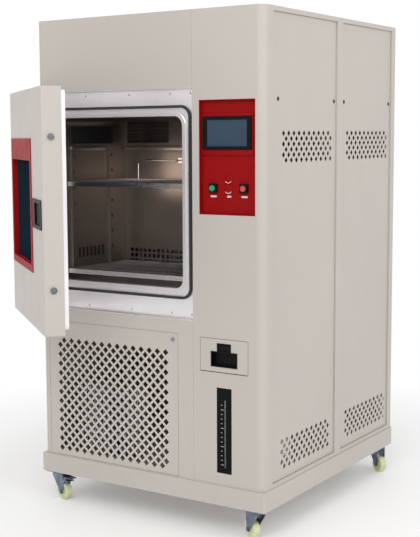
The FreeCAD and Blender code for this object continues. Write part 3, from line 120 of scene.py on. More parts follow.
def edit_faces(piece, wanted):
    """Opens edit mode with only the faces for which wanted(face) is true selected."""
    clear_selection()
    piece.select_set(True)
    bpy.context.view_layer.objects.active = piece
    bpy.ops.object.mode_set(mode="EDIT")
    bpy.ops.mesh.select_mode(type="FACE")
    bpy.ops.mesh.select_all(action="DESELECT")
    mesh = bmesh.from_edit_mesh(piece.data)
    for face in mesh.faces:
        face.select_set(wanted(face))
    bmesh.update_edit_mesh(piece.data)


def leave_edit():
    bpy.ops.object.mode_set(mode="OBJECT")


def rounded(piece, width, segments=2, angle=35):
    """Bevels the sharp edges and shades by angle."""
    clear_selection()
    piece.select_set(True)
    bpy.context.view_layer.objects.active = piece
    bevel = piece.modifiers.new("edge", "BEVEL")
    bevel.width = width
    bevel.segments = segments
    bevel.limit_method = "ANGLE"
    bevel.angle_limit = math.radians(angle)
    bpy.ops.object.modifier_apply(modifier=bevel.name)
    bpy.ops.object.shade_smooth_by_angle(angle=math.radians(angle))
    return piece


FACING = {
    "+x": Matrix.Rotation(math.radians(90), 4, "Y"),
    "-y": Matrix.Rotation(math.radians(90), 4, "X"),
    "+y": Matrix.Rotation(math.radians(-90), 4, "X"),
}


def spread(piece, name, places):
    """One object with a copy of the piece's mesh at each place matrix."""
    copies = []
    for place in places:
        copy = piece.copy()
        copy.data = piece.data.copy()
        copy.data.transform(place)
        bpy.context.collection.objects.link(copy)
        copies.append(copy)
    bpy.data.objects.remove(piece)
    clear_selection()
    for copy in copies:
        copy.select_set(True)
    bpy.context.view_layer.objects.active = copies[0]
    if len(copies) > 1:
        bpy.ops.object.join()
    return named(name)


def joined(name, pieces):
    """Joins finished pieces into one object."""
    clear_selection()
    for piece in pieces:
        piece.select_set(True)
    bpy.context.view_layer.objects.active = pieces[0]
    if len(pieces) > 1:
        bpy.ops.object.join()
    return named(name)


def dress(piece, body, material):
    """Gives a finished piece its material and its body."""
    piece.data.materials.clear()
    piece.data.materials.append(material)
    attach(piece, body)
    return piece


# Materials

def blank(name):
    material = bpy.data.materials.new(name)
    material.use_nodes = True
    tree = material.node_tree
    shader = next(node for node in tree.nodes if node.type == "BSDF_PRINCIPLED")
    return material, tree, shader


def coordinates(tree, stretch=(1, 1, 1)):
    """Object coordinates, stretched per axis."""
    source = tree.nodes.new("ShaderNodeTexCoord")
    mapping = tree.nodes.new("ShaderNodeMapping")
    mapping.inputs["Scale"].default_value = stretch
    tree.links.new(source.outputs["Object"], mapping.inputs["Vector"])
    return mapping.outputs["Vector"]


def noise(tree, vector, scale, detail=3.0, roughness=0.5):
    node = tree.nodes.new("ShaderNodeTexNoise")
    node.inputs["Scale"].default_value = scale
    node.inputs["Detail"].default_value = detail
    node.inputs["Roughness"].default_value = roughness
    tree.links.new(vector, node.inputs["Vector"])
    return node.outputs["Fac"]


def between(tree, factor, low_value, high_value, start=0.3, end=0.7):
    """Maps a 0 to 1 factor to a range of plain numbers."""
    node = tree.nodes.new("ShaderNodeMapRange")
    node.inputs["From Min"].default_value = start
    node.inputs["From Max"].default_value = end
    node.inputs["To Min"].default_value = low_value
    node.inputs["To Max"].default_value = high_value
    tree.links.new(factor, node.inputs["Value"])
    return node.outputs["Result"]


def two_tones(tree, factor, first, second, start=0.3, end=0.7):
    ramp = tree.nodes.new("ShaderNodeValToRGB")
    ramp.color_ramp.elements[0].position = start
    ramp.color_ramp.elements[0].color = (*first, 1)
    ramp.color_ramp.elements[1].position = end
    ramp.color_ramp.elements[1].color = (*second, 1)
    tree.links.new(factor, ramp.inputs["Fac"])
    return ramp.outputs["Color"]


def bump(tree, height, distance, strength):
    node = tree.nodes.new("ShaderNodeBump")
    node.inputs["Distance"].default_value = distance
    node.inputs["Strength"].default_value = strength
    tree.links.new(height, node.inputs["Height"])
    return node.outputs["Normal"]


def shade(colour, factor):
    return tuple(min(1.0, channel * factor) for channel in colour)


def powder_coat(name, colour, roughness=0.45, relief=0.00012, shine=0.4):
    """Baked powder coat: a fine orange-peel relief under faint clouds of tone."""
    material, tree, shader = blank(name)
    vector = coordinates(tree)
    cloud_scale, grain_scale = 1.5, 900
    clouds = noise(tree, vector, cloud_scale, 4)
    tones = two_tones(tree, clouds, shade(colour, 0.965), shade(colour, 1.02))
    tree.links.new(tones, shader.inputs["Base Color"])
    smudge = noise(tree, vector, 9, 5, 0.6)
    tree.links.new(between(tree, smudge, roughness - 0.05, roughness + 0.07), shader.inputs["Roughness"])
    peel = noise(tree, vector, grain_scale, 2)
    tree.links.new(bump(tree, peel, relief, 0.5), shader.inputs["Normal"])
    shader.inputs["Specular IOR Level"].default_value = shine
    return material


BRUSH_LINES = 500
BRUSH_RELIEF = 0.04 * MM


def brush(tree, shader, stretch, roughness):
    """Gives a metal the streaks of brushing, in its roughness and relief."""
    streaks = noise(tree, coordinates(tree, stretch), BRUSH_LINES, 3)
    tree.links.new(between(tree, streaks, roughness - 0.07, roughness + 0.12), shader.inputs["Roughness"])
    tree.links.new(bump(tree, streaks, BRUSH_RELIEF, 0.4), shader.inputs["Normal"])
    shader.inputs["Metallic"].default_value = 1.0


def brushed_metal(name, colour, stretch, roughness):
    """Brushed sheet: long streaks along the axis with the small stretch."""
    material, tree, shader = blank(name)
    stains = noise(tree, coordinates(tree), 4, 4)
    tones = two_tones(tree, stains, shade(colour, 0.93), shade(colour, 1.05))
    tree.links.new(tones, shader.inputs["Base Color"])
    brush(tree, shader, stretch, roughness)
    return material


def liner_with_painted_shade(name, bright, dark, roughness):
    """Brushed liner sheet with painted shade: its own steel colour at the front edge, fading further in to a
    dark painted shade that is darkest under the ceiling.
    """
    material, tree, shader = blank(name)
    source = tree.nodes.new("ShaderNodeTexCoord")
    split = tree.nodes.new("ShaderNodeSeparateXYZ")
    tree.links.new(source.outputs["Object"], split.inputs["Vector"])
    # Painted shade: the colour fades from the steel to a dark tone inside the test space, and that tone
    # darkens from the shelf up to the ceiling.
    rim_start, rim_end = FLANGE_FACE + 0.006, FLANGE_FACE + 0.03
    inward_shade_mask = between(tree, split.outputs["Y"], 0.0, 1.0, rim_start, rim_end)
    height = between(tree, split.outputs["Z"], 0.0, 1.0, SHELF_TOP, CEILING)
    painted_shade_tone = two_tones(tree, height, shade(dark, 1.25), shade(dark, 0.72), 0.0, 1.0)
    blend = tree.nodes.new("ShaderNodeMix")
    blend.data_type = "RGBA"
    rim_colour, shade_colour_socket = (socket for socket in blend.inputs if socket.type == "RGBA")
    blended = next(socket for socket in blend.outputs if socket.type == "RGBA")
    rim_colour.default_value = (*bright, 1)
    tree.links.new(inward_shade_mask, blend.inputs[0])
    tree.links.new(painted_shade_tone, shade_colour_socket)
    tree.links.new(blended, shader.inputs["Base Color"])
    brush(tree, shader, (1, 1, 0.02), roughness)
    return material


def moulded(name, colour, roughness=0.4, grain=1400, relief=0.00006, coat=0.0, shine=0.5):
    """Moulded plastic or rubber with a fine grain."""
    material, tree, shader = blank(name)
    vector = coordinates(tree)
    tone = noise(tree, vector, 25, 3)
    tones = two_tones(tree, tone, shade(colour, 0.85), shade(colour, 1.12))
    tree.links.new(tones, shader.inputs["Base Color"])
    wear = noise(tree, vector, 60, 4)
    tree.links.new(between(tree, wear, roughness - 0.06, roughness + 0.08), shader.inputs["Roughness"])
    tree.links.new(bump(tree, noise(tree, vector, grain, 2), relief, 0.5), shader.inputs["Normal"])
    shader.inputs["Coat Weight"].default_value = coat
    shader.inputs["Specular IOR Level"].default_value = shine
    return material


def plated(name, colour, roughness, rainbow):
    """Zinc plate: bright metal with soft patches of a second tint."""
    material, tree, shader = blank(name)
    vector = coordinates(tree)
    patches = noise(tree, vector, 40, 4)
    tree.links.new(two_tones(tree, patches, colour, rainbow), shader.inputs["Base Color"])
    tree.links.new(between(tree, noise(tree, vector, 160, 3), roughness - 0.06, roughness + 0.14),
                   shader.inputs["Roughness"])
    tree.links.new(bump(tree, noise(tree, vector, 500, 2), 0.00005, 0.4), shader.inputs["Normal"])
    shader.inputs["Metallic"].default_value = 1.0
    return material


def dark_pane(name, colour, tint, roughness, shine):
    """Coated dark glass with a faint broad change of tint."""
    material, tree, shader = blank(name)
    vector = coordinates(tree)
    broad = noise(tree, vector, 2.2, 1)
    tree.links.new(two_tones(tree, broad, colour, tint, 0.35, 0.65), shader.inputs["Base Color"])
    tree.links.new(between(tree, noise(tree, vector, 30, 4), roughness, roughness + 0.05),
                   shader.inputs["Roughness"])
    shader.inputs["Specular IOR Level"].default_value = shine
    return material


def clear_pane(name, colour):
    material, tree, shader = blank(name)
    vector = coordinates(tree)
    tree.links.new(two_tones(tree, noise(tree, vector, 12, 3), shade(colour, 0.94), colour),
                   shader.inputs["Base Color"])
    shader.inputs["Transmission Weight"].default_value = 0.9
    shader.inputs["Roughness"].default_value = 0.05
    return material


MATERIALS = {}

NODE_FINISH = {
    "cream": ["cabinet_frame", "front_column", "upper_front_panel", "lower_front_frame", "vent_panel",
              "right_front_panel", "right_rear_panel", "left_side_panels", "roof_panel", "rear_cover",
              "door_shell", "tank_flap"],
    "red": ["control_panel", "window_bezel"],
    "flange_steel": ["door_flange", "door_pan"],
    "liner_steel_painted_shade": ["chamber_liner", "rear_duct_panel", "shelf_posts"],
    "shelf_steel": ["upper_shelf", "lower_shelf", "humidifier"],
    "bright": ["sensor_rod", "air_heater"],
    "dull_plate": ["door_studs", "vent_lock"],
    "zinc": ["hinge_brackets", "hinge_hangers", "caster_plates", "front_left_fork", "front_right_fork",
             "rear_right_fork", "rear_left_fork", "brake_pedal"],
    "alloy": ["lamp_house", "cooling_coil", "condenser", "circulation_fan"],
    "casting": ["fan_motors", "compressor"],
    "rubber": ["flange_gasket"],
    "black": ["screen_bezel", "button_bases", "handle_body", "handle_lever", "latch_cup", "latch_tab",
              "condenser_fan"],
    "white_tank": ["water_tank"],
    "green": ["green_button"],
    "red_cap": ["red_button"],
    "nylon": ["front_left_wheel", "front_right_wheel", "rear_right_wheel", "rear_left_wheel"],
    "gauge": ["level_window"],
    "screen": ["touch_screen"],
    "door_glass": ["window_glass"],
    "quartz": ["xenon_lamps", "filter_glass"],
}


class ChamberFinish(bpy.types.PropertyGroup):
    """Colours of the painted and moulded pieces."""

    cream: bpy.props.FloatVectorProperty(
        name="Cabinet", description="Powder coat of the cabinet", subtype="COLOR", size=3,
        min=0, max=1, default=(0.52, 0.478, 0.440))
    red: bpy.props.FloatVectorProperty(
        name="Accent", description="Powder coat of the control panel and window surround",
        subtype="COLOR", size=3, min=0, max=1, default=(0.29, 0.002, 0.003))
    steel: bpy.props.FloatVectorProperty(
        name="Stainless", description="Stainless sheet of the test space", subtype="COLOR", size=3,
        min=0, max=1, default=(0.80, 0.78, 0.79))
    zinc: bpy.props.FloatVectorProperty(
        name="Zinc plate", description="Caster forks and hinges", subtype="COLOR", size=3,
        min=0, max=1, default=(0.24, 0.28, 0.37))
    nylon: bpy.props.FloatVectorProperty(
        name="Wheels", description="Caster wheels", subtype="COLOR", size=3,
        min=0, max=1, default=(0.62, 0.65, 0.40))
    screen: bpy.props.FloatVectorProperty(
        name="Screen", description="Touch screen when it is off", subtype="COLOR", size=3,
        min=0, max=1, default=(0.035, 0.055, 0.085))


class ChamberFittings(bpy.types.PropertyGroup):
    """Sizes of the small fittings."""

    screw_radius: bpy.props.FloatProperty(
        name="Panel screw", description="Radius of a panel screw head", default=0.0055,
        min=0.002, max=0.012, unit="LENGTH")
    side_fastener_radius: bpy.props.FloatProperty(
        name="Side fastener", description="Radius of the four dark round fasteners on the side panels",
        default=0.007, min=0.003, max=0.012, unit="LENGTH")
    flange_screw_radius: bpy.props.FloatProperty(
        name="Flange screw", description="Radius of a flange screw head", default=0.0042,
        min=0.002, max=0.01, unit="LENGTH")
    port_radius: bpy.props.FloatProperty(
        name="Port cap", description="Outer radius of the two caps between the buttons", default=0.0155,
        min=0.008, max=0.02, unit="LENGTH")
    vane_depth: bpy.props.FloatProperty(
        name="Outlet vane", description="Depth of the vanes behind the two air outlets",
        default=0.012, min=0.004, max=0.03, unit="LENGTH")


def finish_settings():
    return bpy.context.scene.chamber_finish


def fitting_settings():
    return bpy.context.scene.chamber_fittings


def build_materials():
    tone = finish_settings()
    steel, zinc, screen = tuple(tone.steel), tuple(tone.zinc), tuple(tone.screen)
    upright, across, crosswise = (1, 1, 0.02), (0.05, 1, 1), (1, 0.05, 1)
    made = {
        "cream": powder_coat("cream_paint", tuple(tone.cream)),
        "red": powder_coat("red_paint", tuple(tone.red), roughness=0.5, relief=0.00008, shine=0.12),
        # The flange's steel is the liner's steel made 1.1 times brighter: a painted highlight for the light
        # the front flange catches.
        "flange_steel": brushed_metal("flange_steel", shade(steel, 1.1), upright, 0.34),
        # The liner's second colour is the dark painted shade inside the test space.
        "liner_steel_painted_shade": liner_with_painted_shade("liner_steel_painted_shade", steel, (0.26, 0.23, 0.21), 0.38),
        "rail_steel": brushed_metal("rail_steel", (0.42, 0.37, 0.35), across, 0.36),
        "shelf_steel": brushed_metal("shelf_steel", shade(steel, 0.75), across, 0.3),
        "bright": plated("bright_steel", (0.62, 0.62, 0.64), 0.16, (0.45, 0.45, 0.48)),
        "dull_plate": plated("dull_plate", (0.34, 0.34, 0.35), 0.14, (0.12, 0.12, 0.13)),
        "zinc": plated("zinc_plate", zinc, 0.3, shade(zinc, 0.5)),
        "alloy": brushed_metal("alloy_sheet", (0.75, 0.76, 0.77), crosswise, 0.38),
        "casting": moulded("black_casting", (0.03, 0.03, 0.033), 0.5, 700, 0.0002),
        "rubber": moulded("gasket_rubber", (0.022, 0.021, 0.021), 0.6),
        "black": moulded("black_plastic", (0.006, 0.006, 0.007), 0.45, shine=0.1),
        "white_tank": moulded("tank_plastic", (0.75, 0.75, 0.72), 0.45),
        "green": moulded("green_plastic", (0.01, 0.30, 0.13), 0.25, coat=0.4),
        "red_cap": moulded("red_plastic", (0.50, 0.05, 0.05), 0.25, coat=0.4),
        "nylon": moulded("wheel_nylon", tuple(tone.nylon), 0.42),
        "gauge": dark_pane("gauge_pane", (0.006, 0.006, 0.007), (0.009, 0.010, 0.010), 0.4, 0.03),
        "screen": dark_pane("screen_pane", screen, shade(screen, 1.3), 0.3, 0.08),
        "door_glass": dark_pane("door_pane", (0.009, 0.018, 0.027), (0.012, 0.023, 0.034), 0.5, 0.0),
        "quartz": clear_pane("quartz", (0.9, 0.93, 0.95)),
        # Pale print for the ticks and button marks, also used as the painted highlight on the port caps.
        "label": moulded("label_print", (0.72, 0.60, 0.58), 0.5),
        # Near-black: the own colour of the side fasteners and the left window, and painted shade on the vent
        # slots and outlet vanes.
        "black_and_painted_shade": moulded("black_parts_and_painted_shade", (0.006, 0.006, 0.007), 0.7),
    }
    MATERIALS.update(made)


class CHAMBER_OT_finishes(bpy.types.Operator):
    """Gives every construction node its material"""

    bl_idname = "chamber.finishes"
    bl_label = "Finishes"

    def execute(self, context):
        build_materials()
        for finish, names in NODE_FINISH.items():
            for name in names:
                mesh = NODES[name].data
                mesh.materials.clear()
                mesh.materials.append(MATERIALS[finish])
        return {"FINISHED"}


def screw_head(radius, height):
    """A domed head with a cross recess pressed in."""
    piece = add_cylinder("screw", radius, height * 0.5, 20)
    edit_faces(piece, lambda face: face.normal.z > FACES_ALONG)
    bpy.ops.mesh.inset(thickness=radius * 0.28, depth=height * 0.35)
    bpy.ops.mesh.inset(thickness=radius * 0.3, depth=height * 0.12)
    bpy.ops.mesh.inset(thickness=radius * 0.08, depth=-height * 0.3)
    leave_edit()
    bpy.ops.object.shade_smooth_by_angle(angle=SMOOTH_ANGLE)
    return piece


class CHAMBER_OT_screws(bpy.types.Operator):
    """Adds the screws of the side panels, the door flange and the rear cover"""

    bl_idname = "chamber.screws"
    bl_label = "Screws"

    def execute(self, context):
        sizes = fitting_settings()
        panel_head, flange_head = 3 * MM, 2 * MM
        side_height = ROOF - 0.303
        side_places = (-0.427, -0.008, 0.075, 0.480)
        places = [Matrix.Translation((RIGHT_PANEL_FACE, y, side_height)) @ FACING["+x"] for y in side_places]
        side = spread(screw_head(sizes.side_fastener_radius, panel_head), "side_screws", places)
        dress(side, "cabinet", MATERIALS["black_and_painted_shade"])
        flange_low, flange_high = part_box("door_flange")
        flange_edge = 0.018
        face = low("chamber_liner").y + 0.004
        places = []
        for x in (-0.44, -0.27, -0.075, 0.10, 0.185):
            for z in (flange_low.z + flange_edge, flange_high.z - flange_edge):
                places.append(Matrix.Translation((x, face, z)) @ FACING["-y"])
        flange = spread(screw_head(sizes.flange_screw_radius, flange_head), "flange_screws", places)
        dress(flange, "cabinet", MATERIALS["bright"])
        rear_low, rear_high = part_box("rear_cover")
        rear_edge, rows = 0.02, 5
        pitch = (rear_high.z - rear_low.z - 2 * rear_edge) / (rows - 1)
        places = []
        for x in (rear_low.x + rear_edge, 0, rear_high.x - rear_edge):
            for row in range(rows):
                z = rear_low.z + rear_edge + row * pitch
                places.append(Matrix.Translation((x, rear_high.y, z)) @ FACING["+y"])
        rear = spread(screw_head(sizes.screw_radius, panel_head), "rear_screws", places)
        dress(rear, "cabinet", MATERIALS["bright"])
        return {"FINISHED"}


class CHAMBER_OT_control_details(bpy.types.Operator):
    """Adds the frame round the screen, the two capped ports and the plain marks under the buttons"""

    bl_idname = "chamber.control_details"
    bl_label = "Control panel details"

    def execute(self, context):
        green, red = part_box("green_button"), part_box("red_button")
        centre_x = (green[0].x + red[1].x) / 2
        centre_z = (green[0].z + green[1].z) / 2
        self.surround()
        self.ports(centre_x, centre_z)
        button_mark, middle_mark = 0.024, 0.016
        spots = (((green[0].x + green[1].x) / 2, button_mark), (centre_x + 0.001, middle_mark),
                 ((red[0].x + red[1].x) / 2, button_mark))
        self.marks(spots, centre_z)
        return {"FINISHED"}

    def surround(self):
        """The proud red frame round the screen's black one."""
        inner_low, inner_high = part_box("screen_bezel")
        gap, proud = 0.6 * MM, 5 * MM
        left_bar, right_bar, foot_bar, head_bar = 0.0045, 0.006, 0.019, 0.010
        left, right = inner_low.x - gap, inner_high.x + gap
        foot, head = inner_low.z - gap, inner_high.z + gap
        outer_left, outer_right = left - left_bar, right + right_bar
        bars = (((outer_left, foot - foot_bar), (outer_right, foot)),
                ((outer_left, head), (outer_right, head + head_bar)),
                ((outer_left, foot), (left, head)),
                ((right, foot), (outer_right, head)))
        pieces = []
        for (x0, z0), (x1, z1) in bars:
            bar = add_block("bar", (x0, PANEL_FLOOR - proud, z0), (x1, PANEL_FLOOR, z1))
            pieces.append(rounded(bar, 1.2 * MM))
        dress(joined("screen_surround", pieces), "cabinet", MATERIALS["red"])

    def ports(self, centre_x, centre_z):
        """Two flat caps, each with a pale half ring on the lower half of its edge: a painted highlight, the
        reflection a bright ring catches.
        """
        radius = fitting_settings().port_radius
        thickness = 4 * MM
        cap = add_cylinder("cap", radius, thickness, 40)
        edit_faces(cap, lambda face: face.normal.z > FACES_ALONG)
        bpy.ops.mesh.inset(thickness=radius * 0.3, depth=0.8 * MM)
        leave_edit()
        rounded(cap, 0.4 * MM)
        lower, upper = centre_z - 0.004, centre_z + 0.031
        places = [Matrix.Translation((centre_x, PANEL_FLOOR, z)) @ FACING["-y"] for z in (lower, upper)]
        dress(spread(cap, "port_caps", places), "cabinet", MATERIALS["red"])
        clear_selection()
        # Painted highlight: a pale half torus stands for the light reflected along the lower half of each
        # cap's bright ring.
        bpy.ops.mesh.primitive_torus_add(major_radius=radius * 0.84, minor_radius=1.3 * MM,
                                         major_segments=48, minor_segments=10)
        highlight_arc = named("highlight_arc")
        edit_faces(highlight_arc, lambda face: face.calc_center_median().y > -0.45 * radius)
        bpy.ops.mesh.delete(type="FACE")
        bpy.ops.mesh.select_all(action="SELECT")
        bpy.ops.mesh.fill_holes(sides=0)
        bpy.ops.mesh.normals_make_consistent(inside=False)
        leave_edit()
        bpy.ops.object.shade_smooth_by_angle(angle=SMOOTH_ANGLE)
        lifted = [place @ Matrix.Translation((0, 0, thickness + 0.4 * MM)) for place in places]
        dress(spread(highlight_arc, "port_highlight_arcs", lifted), "cabinet", MATERIALS["label"])

    def marks(self, spots, centre_z):
        """Plain pale bars where the buttons have their captions."""
        foot, head = centre_z - 0.031, centre_z - 0.025
        marks = []
        for x, width in spots:
            mark = add_block("mark", (x - width / 2, PANEL_FLOOR - 0.4 * MM, foot),
                             (x + width / 2, PANEL_FLOOR, head))
            marks.append(rounded(mark, 0.2 * MM, 1))
        dress(joined("button_marks", marks), "cabinet", MATERIALS["label"])


class CHAMBER_OT_gauge(bpy.types.Operator):
    """Adds the sight tube and tick marks of the level window"""

    bl_idname = "chamber.gauge"
    bl_label = "Level window"

    def execute(self, context):
        strip_low, strip_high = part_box("level_window")
        margin = 0.01
        left = strip_low.x + margin
        bottom, top = strip_low.z + margin, strip_high.z - margin
        face = FRONT + 0.5 * MM
        count, every = 14, 4
        scale_foot, scale_left = bottom + 0.03, left + 0.016
        pitch = (top - bottom - 0.09) / (count - 1)
        long_tick, short_tick = 0.012, 0.007
        half, thickness = 0.7 * MM, 0.3 * MM
        ticks = []
        for number in range(count):
            z = scale_foot + number * pitch
            length = long_tick if number % every == 0 else short_tick
            tick = add_block("tick", (scale_left, face - thickness, z - half),
                             (scale_left + length, face, z + half))
            ticks.append(rounded(tick, 0.1 * MM, 1))
        dress(joined("gauge_ticks", ticks), "cabinet", MATERIALS["label"])
        tube = add_cylinder("tube", 2.8 * MM, top - bottom - 0.06, 20)
        rounded(tube, 0.6 * MM)
        place = Matrix.Translation((left + 0.034, FRONT, bottom + 0.02))
        dress(spread(tube, "gauge_tube", [place]), "cabinet", MATERIALS["quartz"])
        return {"FINISHED"}


class CHAMBER_OT_test_space(bpy.types.Operator):
    """Adds the dark window, ledges, vanes, small vents and hook wire inside the test space"""

    bl_idname = "chamber.test_space"
    bl_label = "Test space"

    def execute(self, context):
        self.left_wall()
        self.rear_wall()
        self.loose_wire()
        return {"FINISHED"}

    def left_wall(self):
        floor = low("rear_duct_panel").z
        window = add_block("left_window", (LINER_LEFT, -0.439, CEILING - 0.095),
                           (LINER_LEFT + 3 * MM, -0.184, CEILING - 0.033))
        edit_faces(window, lambda face: face.normal.x > FACES_ALONG)
        bpy.ops.mesh.inset(thickness=4 * MM, depth=0.0)
        bpy.ops.mesh.inset(thickness=2 * MM, depth=-1.5 * MM)
        leave_edit()
        dress(rounded(window, 0.6 * MM), "cabinet", MATERIALS["black_and_painted_shade"])
        ledge = add_block("left_ledge", (LINER_LEFT, -0.447, CEILING - 0.121),
                          (LINER_LEFT + 8 * MM, -0.232, CEILING - 0.105))
        dress(rounded(ledge, 2 * MM), "cabinet", MATERIALS["rail_steel"])
        fold = add_block("left_fold", (LINER_LEFT, -0.2335, floor + 0.05),
                         (LINER_LEFT + 1.2 * MM, -0.2305, CEILING - 0.125))
        dress(rounded(fold, 0.5 * MM), "cabinet", MATERIALS["rail_steel"])
        # The vent slots are thin near-black strips laid on the wall: painted shade standing in for open
        # slots.
        count, first, pitch = 7, -0.405, 0.024
        width, foot, head = 0.011, floor + 0.071, floor + 0.110
        slots = []
        for number in range(count):
            y = first + number * pitch
            slot = add_block("slot", (LINER_LEFT, y, foot), (LINER_LEFT + MM, y + width, head))
            slots.append(rounded(slot, 0.4 * MM, 1))
        dress(joined("left_vents", slots), "cabinet", MATERIALS["black_and_painted_shade"])

    def rear_wall(self):
        depth = fitting_settings().vane_depth
        back = high("rear_duct_panel").y
        count, pitch, thickness, width = 6, 0.0145, 2 * MM, 0.199
        lowest = CEILING - 0.090
        vanes = []
        for offset in (0.017, 0.333):
            x = LINER_LEFT + offset
            for number in range(count):
                z = lowest + number * pitch
                vane = add_block("vane", (x, back, z), (x + width, back + depth, z + thickness))
                vanes.append(rounded(vane, 0.5 * MM, 1))
        # The vanes are real, but their near-black colour is painted shade of the outlet openings behind
        # them.
        dress(joined("outlet_vanes", vanes), "cabinet", MATERIALS["black_and_painted_shade"])
        ledge = add_block("rear_ledge", (LINER_LEFT + 0.009, DUCT_FACE - 8 * MM, CEILING - 0.122),
                          (high("rear_duct_panel").x - 0.010, DUCT_FACE, CEILING - 0.107))
        dress(rounded(ledge, 2 * MM), "cabinet", MATERIALS["rail_steel"])

    def loose_wire(self):
        wire = add_cylinder("hook_wire", 1.6 * MM, 0.062, 12)
        edit_faces(wire, lambda face: face.normal.z > FACES_ALONG)
        bpy.ops.mesh.inset(thickness=0.4 * MM, depth=0.6 * MM)
        leave_edit()
        rounded(wire, 0.3 * MM, 1)
        wire = spread(wire, "hook_wire", [Matrix.Translation((-0.262, -0.20, SHELF_TOP))])
        dress(wire, "cabinet", MATERIALS["bright"])


class CHAMBER_OT_stage(bpy.types.Operator):
    """Builds the floor, the light and the camera"""

    bl_idname = "chamber.stage"
    bl_label = "Stage"

    def execute(self, context):
        build_floor()
        build_light()
        build_camera()
        return {"FINISHED"}


def build_floor():
    clear_selection()
    bpy.ops.mesh.primitive_plane_add(size=40, location=(0, 0, 0))
    floor = named("floor")
    material, tree, shader = blank("studio_floor")
    shader.inputs["Base Color"].default_value = (0.93, 0.93, 0.93, 1)
    shader.inputs["Roughness"].default_value = 0.6
    shader.inputs["Specular IOR Level"].default_value = 0.1
    shader.inputs["Emission Color"].default_value = (1, 1, 1, 1)
    shader.inputs["Emission Strength"].default_value = 0.12
    source = tree.nodes.new("ShaderNodeTexCoord")
    reach = tree.nodes.new("ShaderNodeVectorMath")
    reach.operation = "LENGTH"
    tree.links.new(source.outputs["Object"], reach.inputs[0])
    shadow_reach, white_from = 0.9, 2.1
    far = between(tree, reach.outputs["Value"], 0.0, 1.0, shadow_reach, white_from)
    white = tree.nodes.new("ShaderNodeEmission")
    white.inputs["Color"].default_value = (1, 1, 1, 1)
    white.inputs["Strength"].default_value = 1.0
    mix = tree.nodes.new("ShaderNodeMixShader")
    output = next(node for node in tree.nodes if node.type == "OUTPUT_MATERIAL")
    tree.links.new(far, mix.inputs["Fac"])
    tree.links.new(shader.outputs["BSDF"], mix.inputs[1])
    tree.links.new(white.outputs["Emission"], mix.inputs[2])
    tree.links.new(mix.outputs["Shader"], output.inputs["Surface"])
    floor.data.materials.append(material)


def area_light(name, place, target, size, watts, colour=(1, 1, 1)):
    data = bpy.data.lights.new(name, "AREA")
    data.energy = watts
    data.size = size
    data.color = colour
    lamp = bpy.data.objects.new(name, data)
    bpy.context.collection.objects.link(lamp)
    lamp.location = place
    lamp.rotation_euler = (Vector(target) - Vector(place)).to_track_quat("-Z", "Y").to_euler()
    return lamp


def build_light():
    world = bpy.data.worlds.new("studio")
    bpy.context.scene.world = world
    world.use_nodes = True
    tree = world.node_tree
    tree.nodes.clear()
    output = tree.nodes.new("ShaderNodeOutputWorld")
    seen = tree.nodes.new("ShaderNodeBackground")
    seen.inputs["Color"].default_value = (1, 1, 1, 1)
    seen.inputs["Strength"].default_value = 1.0
    soft = tree.nodes.new("ShaderNodeBackground")
    soft.inputs["Color"].default_value = (1, 1, 1, 1)
    soft.inputs["Strength"].default_value = 0.70
    mix = tree.nodes.new("ShaderNodeMixShader")
    path = tree.nodes.new("ShaderNodeLightPath")
    first = tree.nodes.new("ShaderNodeMath")
    first.operation = "MAXIMUM"
    tree.links.new(path.outputs["Is Camera Ray"], first.inputs[0])
    tree.links.new(path.outputs["Is Glossy Ray"], first.inputs[1])
    second = tree.nodes.new("ShaderNodeMath")
    second.operation = "MAXIMUM"
    tree.links.new(first.outputs[0], second.inputs[0])
    tree.links.new(path.outputs["Is Transmission Ray"], second.inputs[1])
    tree.links.new(second.outputs[0], mix.inputs["Fac"])
    tree.links.new(soft.outputs[0], mix.inputs[1])
    tree.links.new(seen.outputs[0], mix.inputs[2])
    tree.links.new(mix.outputs[0], output.inputs["Surface"])
    area_light("key", (1.4, -4.4, 4.0), (0, -0.4, 1.7), 2.6, 82)
    area_light("side", (4.6, -1.0, 3.0), (0.3, 0, 0.9), 3.0, 50)
    glow_x, glow_z = -0.20, SHELF_TOP + 0.018
    area_light("chamber_glow", (glow_x, -0.22, glow_z), (glow_x, DUCT_FACE, glow_z + 0.01), 0.16, 0.13,
               (1.0, 0.80, 0.64))


# The camera stands where the photo was taken, found from the cabinet's own edges.
CAMERA_PLACE = (2.3402, -3.7991, 1.3840)
CAMERA_YAW = 33.659
CAMERA_PITCH = -6.490
CAMERA_ROLL = -0.403
FOCAL_PIXELS = 1139.54
CENTRE_PIXEL = (183.27, 266.31)
PHOTO_SIZE = (420, 537)


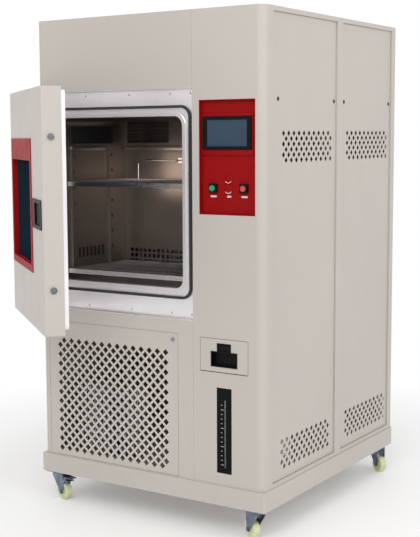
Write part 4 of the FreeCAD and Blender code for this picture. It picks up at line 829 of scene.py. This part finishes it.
def build_camera():
    yaw, pitch, roll = (math.radians(angle) for angle in (CAMERA_YAW, CAMERA_PITCH, CAMERA_ROLL))
    forward = Vector((-math.sin(yaw) * math.cos(pitch), math.cos(yaw) * math.cos(pitch), math.sin(pitch)))
    level = Vector((math.cos(yaw), math.sin(yaw), 0))
    upright = level.cross(forward)
    right = math.cos(roll) * level + math.sin(roll) * upright
    up = -math.sin(roll) * level + math.cos(roll) * upright
    data = bpy.data.cameras.new("camera")
    camera = bpy.data.objects.new("camera", data)
    bpy.context.collection.objects.link(camera)
    basis = Matrix((right, up, -forward)).transposed().to_4x4()
    camera.matrix_world = Matrix.Translation(CAMERA_PLACE) @ basis
    width, height = PHOTO_SIZE
    data.sensor_width = 36
    data.lens = FOCAL_PIXELS * data.sensor_width / height
    data.shift_x = (width / 2 - CENTRE_PIXEL[0]) / height
    data.shift_y = (CENTRE_PIXEL[1] - height / 2) / height
    data.clip_end = 100
    bpy.context.scene.camera = camera
    bpy.context.scene.view_settings.view_transform = "Standard"


OPERATORS = (
    CHAMBER_OT_finishes,
    CHAMBER_OT_screws,
    CHAMBER_OT_control_details,
    CHAMBER_OT_gauge,
    CHAMBER_OT_test_space,
    CHAMBER_OT_stage,
)


class CHAMBER_PT_sidebar(bpy.types.Panel):
    """Lists the steps that dress the chamber"""

    bl_label = "Chamber"
    bl_idname = "CHAMBER_PT_sidebar"
    bl_space_type = "VIEW_3D"
    bl_region_type = "UI"
    bl_category = "Chamber"

    def draw(self, context):
        for group in (context.scene.chamber_finish, context.scene.chamber_fittings):
            for name in group.__annotations__:
                self.layout.prop(group, name)
        for operator in OPERATORS:
            self.layout.operator(operator.bl_idname)


CLASSES = (ChamberFinish, ChamberFittings, *OPERATORS, CHAMBER_PT_sidebar)


def register():
    for item in CLASSES:
        bpy.utils.register_class(item)
    bpy.types.Scene.chamber_finish = bpy.props.PointerProperty(type=ChamberFinish)
    bpy.types.Scene.chamber_fittings = bpy.props.PointerProperty(type=ChamberFittings)


def unregister():
    del bpy.types.Scene.chamber_fittings
    del bpy.types.Scene.chamber_finish
    for item in reversed(CLASSES):
        bpy.utils.unregister_class(item)


def main():
    register()
    for operator in OPERATORS:
        group, name = operator.bl_idname.split(".")
        getattr(getattr(bpy.ops, group), name)()


if __name__ == "__main__":
    main()
